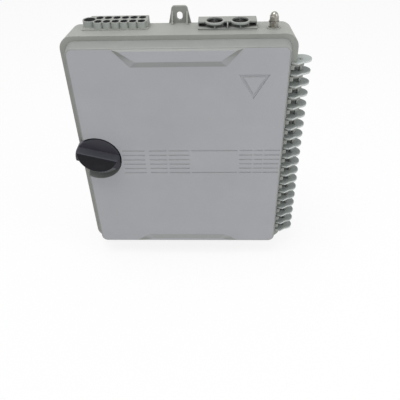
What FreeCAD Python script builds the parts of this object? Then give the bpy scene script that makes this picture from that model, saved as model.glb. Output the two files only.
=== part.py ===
import FreeCAD, Part
import math
import os
import re

import Sketcher
from FreeCAD import Vector

# Fibre termination box for a wall or a pole: a drafted base with a comb of fins along its hinge side,
# a shallow cover with a quarter-turn latch, cable ports in the top wall, and the adapters and the
# splice tray inside.
# Frame: the wall is the plane y = 0 and the box stands in front of it, towards -Y. +X is right and
# +Z is up for someone who faces the box. The origin is midway between the two wall fixings.
# Sketches on the XZ plane are offset towards the viewer, so their offsets are distances from the wall.

# Driving dimensions in millimetres (angles in degrees): name, value, meaning.
SIZES = [
    ("base_width", 280, "width of the base at its rim"),
    ("base_height", 317, "height of the base at its rim"),
    ("base_depth", 52, "depth of the base from the wall to its rim"),
    ("base_corner", 16, "corner radius of the base at its rim"),
    ("base_draft", 3, "how far each side wall leans in from the rim to the wall"),
    ("base_wall", 3.5, "side wall thickness of the base"),
    ("back_wall", 3, "back wall thickness of the base"),
    ("back_edge_radius", 3.2, "rounding of the base's back edge"),
    ("rim_width", 15, "width of the flat rim that carries the cover"),
    ("rim_thickness", 3.5, "thickness of the flat rim"),
    ("opening_corner", 9, "corner radius of the opening in the rim"),
    ("rim_side", 7.5, "width of the rim that stays bare on each side of the cover"),
    ("rim_end", 5.5, "width of the rim that stays bare above and below the cover"),
    ("cover_depth", 18, "depth of the cover from the base's rim to its face"),
    ("cover_corner", 11, "corner radius of the cover at its rim"),
    ("cover_draft", 2.5, "how far each side of the cover leans in towards the face"),
    ("cover_wall", 5.5, "side wall thickness of the cover at its rim"),
    ("cover_face", 2.8, "thickness of the cover's face"),
    ("face_edge_radius", 2.5, "rounding of the edge of the face"),
    ("seam_gap", 0.4, "gap between cover and base"),
    ("seal_width", 2.4, "width of the cover seal"),
    ("seal_groove_depth", 2, "depth of the groove for the cover seal"),
    ("seal_rest_gap", 0.3, "gap between the seal and the rim before it is pressed"),
    ("fit_gap", 0.1, "clearance between pieces that are pushed together by hand"),
    ("running_gap", 0.08, "radial clearance of turning fits"),
    ("fixed_gap", 0.03, "radial clearance of pins and screws that stay put"),
    ("panel_edge_half", 78, "half width of the raised panels at the cover's edge"),
    ("panel_inner_half", 58.5, "half width of the raised panels at their inner end"),
    ("panel_height", 25, "height of the upper raised panel"),
    ("lower_panel_height", 15.5, "height of the lower raised panel"),
    ("panel_rise", 2, "how far the raised panels stand out of the face"),
    ("panel_slope", 9, "width of the slope round the raised panels"),
    ("panel_margin", 1, "distance of the raised panels from the edge of the face"),
    ("sign_inset", 43.15, "distance of the triangular recess's middle from the cover's right edge"),
    ("sign_top_z", 117, "upper edge of the triangular recess"),
    ("sign_half", 18.35, "half width of the triangular recess"),
    ("sign_drop", 31, "height of the triangular recess"),
    ("sign_border", 3.2, "width of the triangular recess's three arms"),
    ("sign_depth", 0.8, "depth of the triangular recess"),
    ("line_top_z", 12, "highest of the thin decorative lines"),
    ("line_pitch", 7, "distance between the decorative lines"),
    ("line_count", 6, "number of decorative lines"),
    ("line_width", 1.8, "width of each decorative line"),
    ("line_depth", 0.6, "depth of each decorative line"),
    ("group_0_left", -80, "left end of the group of lines next to the latch"),
    ("group_0_right", -50.5, "right end of the group of lines next to the latch"),
    ("group_1_left", -44.4, "left end of the first group of lines"),
    ("group_1_right", -21.9, "right end of the first group of lines"),
    ("group_2_left", -18.3, "left end of the second group of lines"),
    ("group_2_right", 8.5, "right end of the second group of lines"),
    ("field_left", 11.4, "left end of the plain field"),
    ("field_right", 71.6, "right end of the plain field"),
    ("group_3_left", 74.7, "left end of the third group of lines"),
    ("group_3_right", 91.2, "right end of the third group of lines"),
    ("group_4_left", 93.6, "left end of the fourth group of lines"),
    ("group_4_right", 104.7, "right end of the fourth group of lines"),
    ("group_5_left", 106.9, "left end of the fifth group of lines"),
    ("group_5_right", 127, "right end of the fifth group of lines"),
    ("latch_inset", 18.5, "distance of the latch from the cover's left edge"),
    ("latch_pocket_radius", 32, "radius of the latch pocket"),
    ("latch_pocket_depth", 13, "depth of the latch pocket"),
    ("latch_cup_wall", 2.6, "wall of the cup round the latch pocket"),
    ("latch_lift", 0.5, "gap between the knob and the pocket's floor"),
    ("knob_radius", 30, "radius of the knob's disc"),
    ("knob_flat", 11, "distance of the disc's flat lower edge from the axis"),
    ("knob_sink", 0.5, "how far the disc lies below the face"),
    ("knob_edge", 1.4, "rounding of the knob's edges"),
    ("wing_half", 27, "half length of the half-moon grip"),
    ("wing_depth", 24, "depth of the half-moon grip below its straight side"),
    ("wing_offset", 12, "distance of the grip's straight side from the axis"),
    ("wing_rise", 13.5, "how far the grip stands out of the face"),
    ("wing_tilt", 15, "how far the grip is turned from level, clockwise"),
    ("shaft_radius", 5, "radius of the latch shaft"),
    ("shaft_seal_size", 1.6, "section of the shaft seal"),
    ("latch_boss_radius", 9, "radius of the boss round the shaft"),
    ("cam_square", 6.4, "side of the square end that drives the cam"),
    ("cam_thickness", 3, "thickness of the cam"),
    ("cam_length", 16, "reach of the cam from its axis"),
    ("cam_hub_radius", 7, "radius of the cam's hub"),
    ("cam_width", 11, "width of the cam's tongue"),
    ("cam_gap", 0.5, "gap between the cam and the rim that it locks behind"),
    ("hinge_offset", 6.5, "distance of the hinge rod from the base's side"),
    ("hinge_setback", 10, "distance of the hinge rod behind the rim"),
    ("rod_radius", 2, "radius of the hinge rod"),
    ("knuckle_radius", 4, "outer radius of the cover's knuckles"),
    ("knuckle_width", 5, "width of a knuckle along the rod"),
    ("knuckle_gap", 0.6, "gap between a knuckle and the fin above it"),
    ("arm_gap", 0.8, "gap between a knuckle's arm and the base"),
    ("arm_thickness", 3, "thickness of the arm that carries a knuckle"),
    ("fin_count", 19, "number of fins"),
    ("fin_pitch", 14.8, "distance between the fins"),
    ("fin_thickness", 2.2, "thickness of each fin"),
    ("fin_top_z", 124.1, "height of the highest fin"),
    ("fin_reach", 19.5, "how far the fins stand out of the base's side"),
    ("fin_setback", 2, "distance of the fins' front behind the rim"),
    ("fin_depth", 22, "depth of the fins"),
    ("skirt_setback", 6, "how far the skirt stands behind the fins' fronts"),
    ("fin_tip_gap", 0.9, "gap between the fins' inner ends and the cover's side"),
    ("fin_tip_rise", 1, "how far the fins' inner ends stand out of the rim"),
    ("fin_crest_rise", 3.5, "how far the fins' crest stands out of the rim"),
    ("fin_crest_offset", 1, "distance of the fins' crest from the base's side"),
    ("web_thickness", 5, "thickness of the web behind the fins"),
    ("skirt_inset", 1.5, "how far the skirt stays inside the fins' outer ends"),
    ("skirt_depth", 10, "depth of the slanting skirt below the fins"),
    ("skirt_end_x", 9.9, "distance of the skirt's lower end from the base's side"),
    ("skirt_end_z", 4, "height of the skirt's lower end above the base's lower edge"),
    ("fixing_gap", 6, "distance of a wall fixing above or below the base"),
    ("ear_root_width", 28, "width of a wall ear at the box"),
    ("ear_tip_width", 20, "width of a wall ear at its end"),
    ("ear_tip", 11.5, "distance from a fixing slot's centre to the end of its ear"),
    ("ear_corner", 4, "rounding of the ear's end"),
    ("ear_thickness", 4, "thickness of a wall ear"),
    ("ear_slot_radius", 3.5, "half width of a fixing slot"),
    ("ear_slot_length", 10, "length of a fixing slot"),
    ("gusset_spread", 9, "distance of each ear gusset from the middle"),
    ("gusset_thickness", 1.8, "thickness of an ear gusset"),
    ("gusset_depth", 7.5, "depth of an ear gusset at the box"),
    ("gusset_height", 11.5, "height of an ear gusset above the box"),
    ("seat_margin", 0.4, "width of a flat seat beyond its port block"),
    ("seat_thickness", 6.5, "thickness of the flat seats in the top wall"),
    ("main_port_inset", 82.25, "distance of the main ports' middle from the base's right side"),
    ("main_port_pitch", 30.1, "distance between the main cable ports"),
    ("main_port_depth", 25.5, "distance of the main cable ports from the wall"),
    ("main_port_radius", 9.75, "radius of a main cable port"),
    ("main_tube_wall", 1.5, "wall of the main ports' spigot"),
    ("main_plate_rim", 2.85, "width of the plate round a main port"),
    ("main_plate_thickness", 2, "thickness of the main ports' top plate"),
    ("main_flange_thickness", 1.5, "thickness of the main ports' foot flange"),
    ("main_flange_lip", 0.3, "width of the foot flange in front of its spigot"),
    ("main_corner", 1.2, "corner radius of the main block"),
    ("main_back_wall", 2.3, "thickness of the main block's back wall"),
    ("main_rib_thickness", 1.4, "thickness of the ribs under the plate"),
    ("main_side_margin", 9.7, "width of the main block beyond the ports"),
    ("port_rise", 7.5, "height of the port blocks above the top wall"),
    ("port_spigot", 10, "length of the port blocks inside the top wall"),
    ("drop_inset", 43.6, "distance of the first drop port from the base's left side"),
    ("drop_spacing", 10.4, "distance between the drop ports"),
    ("drop_row_pitch", 12.9, "distance between the two rows of drop ports"),
    ("drop_front_depth", 24.1, "distance of the front row of drop ports from the wall"),
    ("drop_radius", 4.4, "half width of an oval drop port"),
    ("drop_length", 10.6, "length of an oval drop port from front to back"),
    ("drop_tube_wall", 1.3, "wall of a drop port's tube"),
    ("drop_columns", 6, "number of drop ports in a row"),
    ("drop_end_wall", 7.4, "length of the plain wall at the right end of the drop ports"),
    ("end_port_inset", 32.2, "distance of the spare port from the base's left side"),
    ("end_port_depth", 17, "distance of the spare port from the wall"),
    ("end_port_radius", 7.3, "radius of the spare port"),
    ("plug_sink", 0.4, "how far the port plugs lie below the block's top"),
    ("plug_length", 12, "length of a port plug"),
    ("stud_inset", 28, "distance of the earth stud from the base's right side"),
    ("stud_depth", 29.5, "distance of the earth stud from the wall"),
    ("stud_radius", 3, "radius of the earth stud"),
    ("stud_rise", 14.6, "length of the earth stud above the top wall"),
    ("earth_washer_radius", 6.2, "radius of an earth washer"),
    ("earth_washer_thickness", 1.2, "thickness of an earth washer"),
    ("earth_nut_flats", 10, "width across the flats of an earth nut"),
    ("earth_nut_thickness", 4.8, "thickness of an earth nut"),
    ("dome_radius", 4.6, "radius of the dome nut's cap"),
    ("dome_base", 5.8, "height of the dome nut's hexagon"),
    ("tray_width", 180, "width of the splice tray"),
    ("tray_height", 100, "height of the splice tray"),
    ("tray_z", 86, "distance of the splice tray's middle below the box's middle"),
    ("tray_depth", 11, "depth of the splice tray"),
    ("tray_corner", 26, "corner radius of the splice tray"),
    ("tray_wall", 1.6, "wall and floor thickness of the splice tray"),
    ("tray_stand", 9, "height of the posts under the splice tray"),
    ("tray_screw_x", 72, "distance of the tray screws from the tray's middle, sideways"),
    ("tray_screw_z", 36, "distance of the tray screws from the tray's middle, up and down"),
    ("mandrel_x", 48, "distance of the fibre mandrels from the tray's middle"),
    ("mandrel_radius", 19, "outer radius of a fibre mandrel"),
    ("mandrel_rise", 7, "height of a fibre mandrel"),
    ("tab_length", 12, "length of the tray's fibre tabs"),
    ("tab_reach", 7, "how far the fibre tabs reach into the tray"),
    ("comb_length", 38, "length of a splice comb"),
    ("comb_width", 16, "width of a splice comb"),
    ("comb_rise", 6, "height of a splice comb"),
    ("comb_spread", 22, "distance between the two splice combs"),
    ("comb_slots", 4, "number of splice slots in a comb"),
    ("comb_slot_width", 2.2, "width of a splice slot"),
    ("comb_slot_depth", 3.4, "depth of a splice slot"),
    ("tray_lid_thickness", 1.2, "thickness of the tray's clear lid"),
    ("bracket_x", 20, "distance of the adapter bracket's middle from the box's middle, to the left"),
    ("bracket_z", 44, "height of the adapter bracket's shelf"),
    ("bracket_end", 6, "width of the adapter bracket beyond the adapters, at each end"),
    ("bracket_sheet", 1.6, "sheet thickness of the adapter bracket"),
    ("bracket_foot", 24, "height of the adapter bracket's foot"),
    ("bracket_shelf", 32, "depth of the adapter bracket's shelf"),
    ("bracket_screw_inset", 18, "distance of the bracket screws from the bracket's ends"),
    ("bracket_screw_drop", 13, "distance of the bracket screws below the shelf"),
    ("adapter_pitch", 12, "distance between the fibre adapters"),
    ("adapter_count", 12, "number of fibre adapters"),
    ("adapter_width", 9.2, "width of an adapter's body"),
    ("adapter_depth", 12.8, "depth of an adapter's body"),
    ("adapter_length", 27, "length of an adapter"),
    ("adapter_stand", 17, "distance of the adapters' middle from the bracket's foot"),
    ("adapter_flange_depth", 21, "length of an adapter's flange"),
    ("adapter_flange", 2, "thickness of an adapter's flange"),
    ("adapter_wall", 1.3, "wall of an adapter round its mouth"),
    ("adapter_mouth", 8, "depth of an adapter's mouth"),
    ("cap_rise", 5, "height of a dust cap outside its adapter"),
    ("cap_plug", 6, "length of a dust cap inside its adapter"),
    ("clamp_z", 118, "height of the cable clamps"),
    ("clamp_stand", 19, "height of the posts under the cable clamps"),
    ("clamp_width", 12, "width of a cable clamp's strap"),
    ("clamp_radius", 7, "inner radius of a cable clamp"),
    ("clamp_sheet", 1.6, "thickness of a cable clamp"),
    ("clamp_screw_x", 11.4, "distance of the clamp screws from their cable"),
    ("clamp_half", 14.6, "half length of a cable clamp"),
    ("earth_seat_radius", 8, "radius of the flat seat round the earth stud"),
    ("post_radius", 3.4, "radius of the posts on the back wall"),
    ("screw_radius", 1.5, "radius of a small screw"),
    ("screw_length", 8, "length of a small screw under its head"),
    ("screw_head_radius", 2.9, "radius of a small screw's head"),
    ("screw_head", 2, "height of a small screw's head"),
]

# Sizes that follow from the driving ones, so that the pieces keep their places when the box changes.
FOLLOWING = {
    "cover_width": "(base_width - 2 * rim_side)",
    "cover_height": "(base_height - 2 * rim_end)",
    "sign_x": "(cover_width / 2 - sign_inset)",
    "latch_x": "(cover_width / 2 - latch_inset)",
    "fixing_pitch": "(base_height + 2 * fixing_gap)",
    "main_port_x": "(base_width / 2 - main_port_inset)",
    "drop_first_x": "(base_width / 2 - drop_inset)",
    "end_port_x": "(base_width / 2 - end_port_inset)",
    "stud_x": "(base_width / 2 - stud_inset)",
    "bracket_width": "(adapter_count * adapter_pitch + 2 * bracket_end)",
    "bracket_screw_x": "(bracket_width / 2 - bracket_screw_inset)",
}

doc = FreeCAD.newDocument("fibre_termination_box")
sheet = doc.addObject("Spreadsheet::Sheet", "Sizes")
for row, (alias, number, meaning) in enumerate(SIZES, start=1):
    sheet.set("A%d" % row, meaning)
    sheet.set("B%d" % row, str(number))
    sheet.setAlias("B%d" % row, alias)
doc.recompute()

ALIAS = re.compile(r"\b(%s)\b" % "|".join(alias for alias, number, meaning in SIZES))
FOLLOWER = re.compile(r"\b(%s)\b" % "|".join(FOLLOWING))

# Lines and planes that several pieces share.
FACE = "(base_depth + cover_depth)"
SEAM = "(base_depth + seam_gap)"
RIM_BACK = "(base_depth - rim_thickness)"
SIDE = "(base_width / 2)"
TOP = "(base_height / 2)"
DRAFT = "atan(base_draft / base_depth)"
ROD_X = "(base_width / 2 + hinge_offset)"
ROD_Y = "(hinge_setback - base_depth)"
FIN_OUTER = "(base_width / 2 + fin_reach)"
CELL_SIDE = "(base_width / 2 - rim_side + fin_tip_gap)"
FIN_FRONT = "(base_depth - fin_setback)"
FIN_BACK = "(base_depth - fin_setback - fin_depth)"
COMB_LENGTH = "((fin_count - 1) * fin_pitch + fin_thickness)"
POCKET_FLOOR = "(base_depth + cover_depth - latch_pocket_depth)"
CUP_BACK = "(base_depth + cover_depth - latch_pocket_depth - latch_cup_wall)"
DISC_FRONT = "(base_depth + cover_depth - knob_sink)"
CAM_FRONT = "(base_depth - rim_thickness - cam_gap)"
CAM_BACK = "(base_depth - rim_thickness - cam_gap - cam_thickness)"
TRAY_FLOOR = "(back_wall + tray_stand)"
TRAY_FRONT = "(back_wall + tray_stand + tray_depth)"
MAIN_TUBE = "(main_port_radius + main_tube_wall)"
MAIN_RIM = "(main_port_radius + main_plate_rim)"
DROP_TUBE = "(drop_radius + drop_tube_wall)"
END_TUBE = "(end_port_radius + drop_tube_wall)"
LINES_SPAN = "((line_count - 1) * line_pitch)"
DROP_BACK_DEPTH = "(drop_front_depth - drop_row_pitch)"
DROP_LAST_X = "(drop_first_x - (drop_columns - 1) * drop_spacing)"


def bind(text):
    """The expression in terms of the sheet: every size gets the sheet's name in front."""
    while FOLLOWER.search(text):
        text = FOLLOWER.sub(lambda found: FOLLOWING[found.group(0)], text)
    return ALIAS.sub(lambda found: "Sizes." + found.group(0), text)


def value(text):
    """The number that an expression gives now."""
    return float(sheet.evalExpression(bind(text)))


def make_body(label):
    body = doc.addObject("PartDesign::Body", label)
    body.Label = label
    return body


def origin(body, role):
    return [item for item in body.Origin.OriginFeatures if item.Role == role][0]


def make_sketch(body, name, plane, offset):
    """An empty sketch on one of the body's own planes, moved along the plane's normal."""
    sketch = body.newObject("Sketcher::SketchObject", name)
    sketch.AttachmentSupport = (origin(body, plane), [""])
    sketch.MapMode = "FlatFace"
    sketch.setExpression("AttachmentOffset.Base.z", bind(offset))
    return sketch


def hold(sketch, kind, geometry, point, text):
    """Fix one coordinate of a point at the value of an expression."""
    index = sketch.addConstraint(Sketcher.Constraint(kind, -1, 1, geometry, point, value(text)))
    sketch.setExpression("Constraints[%d]" % index, bind(text))


def hold_radius(sketch, geometry, text):
    index = sketch.addConstraint(Sketcher.Constraint("Radius", geometry, value(text)))
    sketch.setExpression("Constraints[%d]" % index, bind(text))


def arc_between(start, end, radius, turn):
    """The short arc from start to end: turn is 1 for anticlockwise and -1 for clockwise."""
    chord = end - start
    height = math.sqrt(max(radius ** 2 - chord.Length ** 2 / 4, 0))
    across = Vector(-chord.y, chord.x, 0).normalize()
    centre = (start + end) * 0.5 + across * height * turn
    first, last = (start, end) if turn > 0 else (end, start)
    angles = [math.atan2(point.y - centre.y, point.x - centre.x) for point in (first, last)]
    return Part.ArcOfCircle(Part.Circle(centre, Vector(0, 0, 1), radius), angles[0], angles[1])


def add_profile(sketch, corners):
    """A closed outline. A corner is (x, y), or (x, y, radius, turn) where an arc starts there."""
    points = [Vector(value(corner[0]), value(corner[1]), 0) for corner in corners]
    pieces = []
    for number, corner in enumerate(corners):
        start = points[number]
        end = points[(number + 1) % len(points)]
        if len(corner) == 2:
            pieces.append((sketch.addGeometry(Part.LineSegment(start, end), False), 1, 2))
        else:
            arc = arc_between(start, end, value(corner[2]), corner[3])
            ends = (1, 2) if corner[3] > 0 else (2, 1)
            pieces.append((sketch.addGeometry(arc, False),) + ends)
    for number, corner in enumerate(corners):
        geometry, first, last = pieces[number]
        before = pieces[number - 1]
        sketch.addConstraint(Sketcher.Constraint("Coincident", before[0], before[2], geometry, first))
        hold(sketch, "DistanceX", geometry, first, corner[0])
        hold(sketch, "DistanceY", geometry, first, corner[1])
        if len(corner) == 4:
            hold_radius(sketch, geometry, corner[2])


def add_rectangle(sketch, left, right, low, high, radius=None):
    """A rectangle between four coordinates, with round corners where a radius is given."""
    if radius is None:
        add_profile(sketch, [(left, low), (right, low), (right, high), (left, high)])
        return
    near = "%s + %s"
    far = "%s - %s"
    add_profile(sketch, [
        (near % (left, radius), low), (far % (right, radius), low, radius, 1),
        (right, near % (low, radius)), (right, far % (high, radius), radius, 1),
        (far % (right, radius), high), (near % (left, radius), high, radius, 1),
        (left, far % (high, radius)), (left, near % (low, radius), radius, 1)])


def add_centred(sketch, width, height, radius):
    """A round-cornered rectangle about the sketch's origin."""
    add_rectangle(sketch, "-(%s) / 2" % width, "(%s) / 2" % width,
                  "-(%s) / 2" % height, "(%s) / 2" % height, radius)


def add_circle(sketch, x, y, radius):
    circle = Part.Circle(Vector(value(x), value(y), 0), Vector(0, 0, 1), value(radius))
    geometry = sketch.addGeometry(circle, False)
    hold(sketch, "DistanceX", geometry, 3, x)
    hold(sketch, "DistanceY", geometry, 3, y)
    hold_radius(sketch, geometry, radius)


def add_slot(sketch, x, y, radius, length):
    """An upright slot with round ends."""
    reach = "(%s / 2 - %s)" % (length, radius)
    centres = ["%s + %s" % (y, reach), "%s - %s" % (y, reach)]
    size = value(radius)
    upper = Vector(value(x), value(centres[0]), 0)
    lower = Vector(value(x), value(centres[1]), 0)
    side = Vector(size, 0, 0)
    axis = Vector(0, 0, 1)
    top = sketch.addGeometry(Part.ArcOfCircle(Part.Circle(upper, axis, size), 0, math.pi), False)
    lower_arc = Part.ArcOfCircle(Part.Circle(lower, axis, size), math.pi, 2 * math.pi)
    bottom = sketch.addGeometry(lower_arc, False)
    left = sketch.addGeometry(Part.LineSegment(upper - side, lower - side), False)
    right = sketch.addGeometry(Part.LineSegment(lower + side, upper + side), False)
    for first, first_end, second, second_end in (
            (top, 2, left, 1), (left, 2, bottom, 1), (bottom, 2, right, 1), (right, 2, top, 1)):
        sketch.addConstraint(Sketcher.Constraint("Tangent", first, first_end, second, second_end))
    sketch.addConstraint(Sketcher.Constraint("Equal", top, bottom))
    hold_radius(sketch, top, radius)
    for arc, centre in ((top, centres[0]), (bottom, centres[1])):
        hold(sketch, "DistanceX", arc, 3, x)
        hold(sketch, "DistanceY", arc, 3, centre)


def finish_feature(body, feature, grows):
    """Recompute a feature and make sure that it added or removed material."""
    before = 0 if body.Shape.isNull() else body.Shape.Volume
    body.Tip = feature
    doc.recompute()
    after = body.Shape.Volume
    changed = after > before if grows else after < before
    if not changed:
        raise ValueError("%s in %s changed nothing" % (feature.Name, body.Label))
    return feature


def extrude(body, sketch, length, kind, reverse, taper):
    feature = body.newObject("PartDesign::" + kind, sketch.Name + "_" + kind.lower())
    feature.Profile = sketch
    feature.setExpression("Length", bind(length))
    feature.Reversed = reverse
    if taper is not None:
        feature.setExpression("TaperAngle", bind(taper))
    return finish_feature(body, feature, kind == "Pad")


def pad(body, sketch, length, reverse=False, taper=None):
    """Add material along the sketch's normal: to the front, or up for a sketch that lies flat."""
    return extrude(body, sketch, length, "Pad", reverse, taper)


def pocket(body, sketch, length, reverse=False, taper=None):
    """Remove material against the sketch's normal: to the back, or down for a sketch that lies flat."""
    return extrude(body, sketch, length, "Pocket", reverse, taper)


def repeat(body, features, axis, length, count, grows, back=False):
    """A row of copies along one of the body's axes."""
    feature = body.newObject("PartDesign::LinearPattern", features[0].Name + "_row")
    feature.Originals = features
    feature.Direction = (origin(body, axis), [""])
    feature.Reversed = back
    feature.setExpression("Length", bind(length))
    feature.setExpression("Occurrences", bind(count))
    return finish_feature(body, feature, grows)


def mirror(body, features, plane, grows):
    """A mirrored copy on the other side of one of the body's planes."""
    feature = body.newObject("PartDesign::Mirrored", features[0].Name + "_mirror")
    feature.Originals = features
    feature.MirrorPlane = (origin(body, plane), [""])
    return finish_feature(body, feature, grows)


def round_edges(body, base, radius, chosen):
    """A fillet on the edges of a feature that a test chooses."""
    names = ["Edge%d" % number for number, edge in enumerate(base.Shape.Edges, start=1) if chosen(edge)]
    feature = body.newObject("PartDesign::Fillet", base.Name + "_fillet")
    feature.Base = (base, names)
    feature.setExpression("Radius", bind(radius))
    body.Tip = feature
    doc.recompute()
    return feature


def lies_at(edge, axis, position):
    """Whether an edge lies wholly in a plane across one axis."""
    low = getattr(edge.BoundBox, axis + "Min")
    high = getattr(edge.BoundBox, axis + "Max")
    return abs(low - position) < 1e-4 and abs(high - position) < 1e-4


# Base


def make_base_shell():
    base = make_body("base_shell")
    make_tub(base)
    make_port_seats(base)
    make_ears(base)
    cut_comb_seat(base)
    return base


def make_tub(base):
    """The drafted tub with a flat rim that runs inwards round its opening."""
    outline = make_sketch(base, "rim_outline", "XZ_Plane", "base_depth")
    add_centred(outline, "base_width", "base_height", "base_corner")
    tub = pad(base, outline, "base_depth", reverse=True, taper="-" + DRAFT)
    round_edges(base, tub, "back_edge_radius", lambda edge: lies_at(edge, "Y", 0))
    opening = make_sketch(base, "rim_opening", "XZ_Plane", "base_depth")
    add_centred(opening, "(base_width - 2 * rim_width)", "(base_height - 2 * rim_width)", "opening_corner")
    pocket(base, opening, "rim_thickness")
    cavity = make_sketch(base, "cavity", "XZ_Plane", RIM_BACK)
    add_centred(cavity, "(base_width - 2 * base_wall)", "(base_height - 2 * base_wall)",
                "(base_corner - base_wall)")
    pocket(base, cavity, RIM_BACK + " - back_wall", taper="-" + DRAFT)


def make_port_seats(base):
    """Flat seats in the drafted top wall, with the openings for the port blocks and the earth stud."""
    seats = make_sketch(base, "port_seats", "XY_Plane", TOP)
    for left, right, low, high in ((MAIN_LEFT, MAIN_RIGHT, MAIN_LOW, MAIN_HIGH),
                                   (DROP_LEFT, DROP_RIGHT, DROP_LOW, DROP_HIGH)):
        add_rectangle(seats, left + " - seat_margin", right + " + seat_margin",
                      low + " - seat_margin", high + " + seat_margin", "opening_corner / 3")
    add_circle(seats, "stud_x", "-stud_depth", "earth_seat_radius")
    pad(base, seats, "seat_thickness", reverse=True)
    holes = make_sketch(base, "port_openings", "XY_Plane", TOP)
    add_rectangle(holes, SPIGOT_LEFT + " - fit_gap", SPIGOT_RIGHT + " + fit_gap",
                  SPIGOT_LOW + " - fit_gap", SPIGOT_HIGH + " + fit_gap")
    add_rectangle(holes, DROP_SPIGOT_LEFT + " - fit_gap", DROP_SPIGOT_RIGHT + " + fit_gap",
                  DROP_SPIGOT_LOW + " - fit_gap", DROP_SPIGOT_HIGH + " + fit_gap")
    add_circle(holes, "stud_x", "-stud_depth", "stud_radius + fit_gap")
    pocket(base, holes, "seat_thickness + base_wall")


def make_ears(base):
    """The two slotted wall ears with their gussets, one above and one below the box."""
    root = "(%s - base_draft - base_wall / 2)" % TOP
    tip = "(fixing_pitch / 2 + ear_tip)"
    ear = make_sketch(base, "ear", "XZ_Plane", "0")
    slant = "(ear_tip_width / 2)"
    add_profile(ear, [
        ("-ear_root_width / 2", root),
        ("ear_root_width / 2", root),
        (slant, tip + " - ear_corner", "ear_corner", 1),
        (slant + " - ear_corner", tip),
        ("ear_corner - " + slant, tip, "ear_corner", 1),
        ("-" + slant, tip + " - ear_corner")])
    plate = pad(base, ear, "ear_thickness")
    gussets = []
    for name, place in (("gusset_left", "-gusset_spread"), ("gusset_right", "gusset_spread")):
        rib = make_sketch(base, name, "YZ_Plane", place + " - gusset_thickness / 2")
        add_profile(rib, [
            ("-ear_thickness / 2", root), ("-ear_thickness / 2", TOP + " + gusset_height"),
            ("-ear_thickness", TOP + " + gusset_height"),
            ("-ear_thickness - gusset_depth", TOP + " - base_draft / 2"),
            ("-ear_thickness - gusset_depth", root)])
        gussets.append(pad(base, rib, "gusset_thickness"))
    slot = make_sketch(base, "ear_slot", "XZ_Plane", "2 * ear_thickness")
    add_slot(slot, "0", "fixing_pitch / 2", "ear_slot_radius", "ear_slot_length")
    slot_cut = pocket(base, slot, "3 * ear_thickness")
    mirror(base, [plate] + gussets, "XY_Plane", True)
    mirror(base, [slot_cut], "XY_Plane", False)


def cut_comb_seat(base):
    """The step along the hinge side that the comb stands in, and the skirt below the comb."""
    in_wall = "(%s - base_wall * 0.7)" % SIDE
    foot = "(fin_top_z - %s)" % COMB_LENGTH
    wall = make_sketch(base, "seat_wall", "XY_Plane", "fin_top_z + base_wall")
    add_rectangle(wall, CELL_SIDE + " - base_wall", in_wall,
                  "-(%s + rim_thickness / 4)" % RIM_BACK, "-(%s - base_wall)" % FIN_BACK)
    pad(base, wall, COMB_LENGTH + " + 2 * base_wall", reverse=True)
    seat = make_sketch(base, "comb_seat", "XY_Plane", "fin_top_z + fixed_gap")
    add_rectangle(seat, CELL_SIDE + " - fixed_gap", SIDE + " + fin_tip_gap",
                  "-(base_depth + fin_tip_gap)", "fixed_gap - " + FIN_BACK)
    pocket(base, seat, COMB_LENGTH + " + 2 * fixed_gap")
    skirt = make_sketch(base, "comb_skirt", "XZ_Plane", FIN_FRONT + " - skirt_setback")
    add_profile(skirt, [
        (SIDE + " - skirt_end_x", "skirt_end_z - " + TOP),
        (FIN_OUTER + " - skirt_inset", foot + " - fin_thickness"),
        (FIN_OUTER + " - skirt_inset", foot + " - fixed_gap"),
        (in_wall, foot + " - fixed_gap")])
    pad(base, skirt, "skirt_depth", reverse=True)


def make_hinge_comb():
    """The comb on the hinge side: fins with round outer ends on a web, and the rod's holes through them."""
    comb = make_body("hinge_comb")
    round_x = "(%s - fin_depth / 2)" % FIN_OUTER
    web = make_sketch(comb, "comb_web", "XY_Plane", "fin_top_z")
    add_rectangle(web, CELL_SIDE, round_x, "-(%s + web_thickness)" % FIN_BACK, "-" + FIN_BACK)
    pad(comb, web, COMB_LENGTH, reverse=True)
    fin = make_sketch(comb, "fin", "XY_Plane", "fin_top_z")
    add_profile(fin, [
        (CELL_SIDE, "-" + FIN_BACK),
        (round_x, "-" + FIN_BACK, "fin_depth / 2", -1),
        (FIN_OUTER, "-(%s + fin_depth / 2)" % FIN_BACK, "fin_depth / 2", -1),
        (round_x, "-" + FIN_FRONT),
        (SIDE + " + fin_crest_offset", "-(base_depth + fin_crest_rise)"),
        (CELL_SIDE, "-(base_depth + fin_tip_rise)")])
    first = pad(comb, fin, "fin_thickness", reverse=True)
    repeat(comb, [first], "Z_Axis", "(fin_count - 1) * fin_pitch", "fin_count", True, back=True)
    hole = make_sketch(comb, "rod_hole", "XY_Plane", "fin_top_z + fin_pitch")
    add_circle(hole, ROD_X, ROD_Y, "rod_radius + fixed_gap")
    pocket(comb, hole, COMB_LENGTH + " + 2 * fin_pitch")
    return comb


def post_rows():
    """Each group of posts on the back wall: its height and the middles of its posts."""
    tray = [("%s tray_screw_x" % side, "-tray_z %s tray_screw_z" % level)
            for side in ("-", "") for level in "-+"]
    bracket_level = "bracket_z - bracket_screw_drop"
    bracket = [("-bracket_x %s bracket_screw_x" % side, bracket_level) for side in "-+"]
    clamps = [("main_port_x %s main_port_pitch / 2 %s clamp_screw_x" % (port, side), "clamp_z")
              for port in "-+" for side in "-+"]
    return [("tray_post", "tray_stand", tray), ("bracket_post", "tray_stand", bracket),
            ("clamp_post", "clamp_stand", clamps)]


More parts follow.
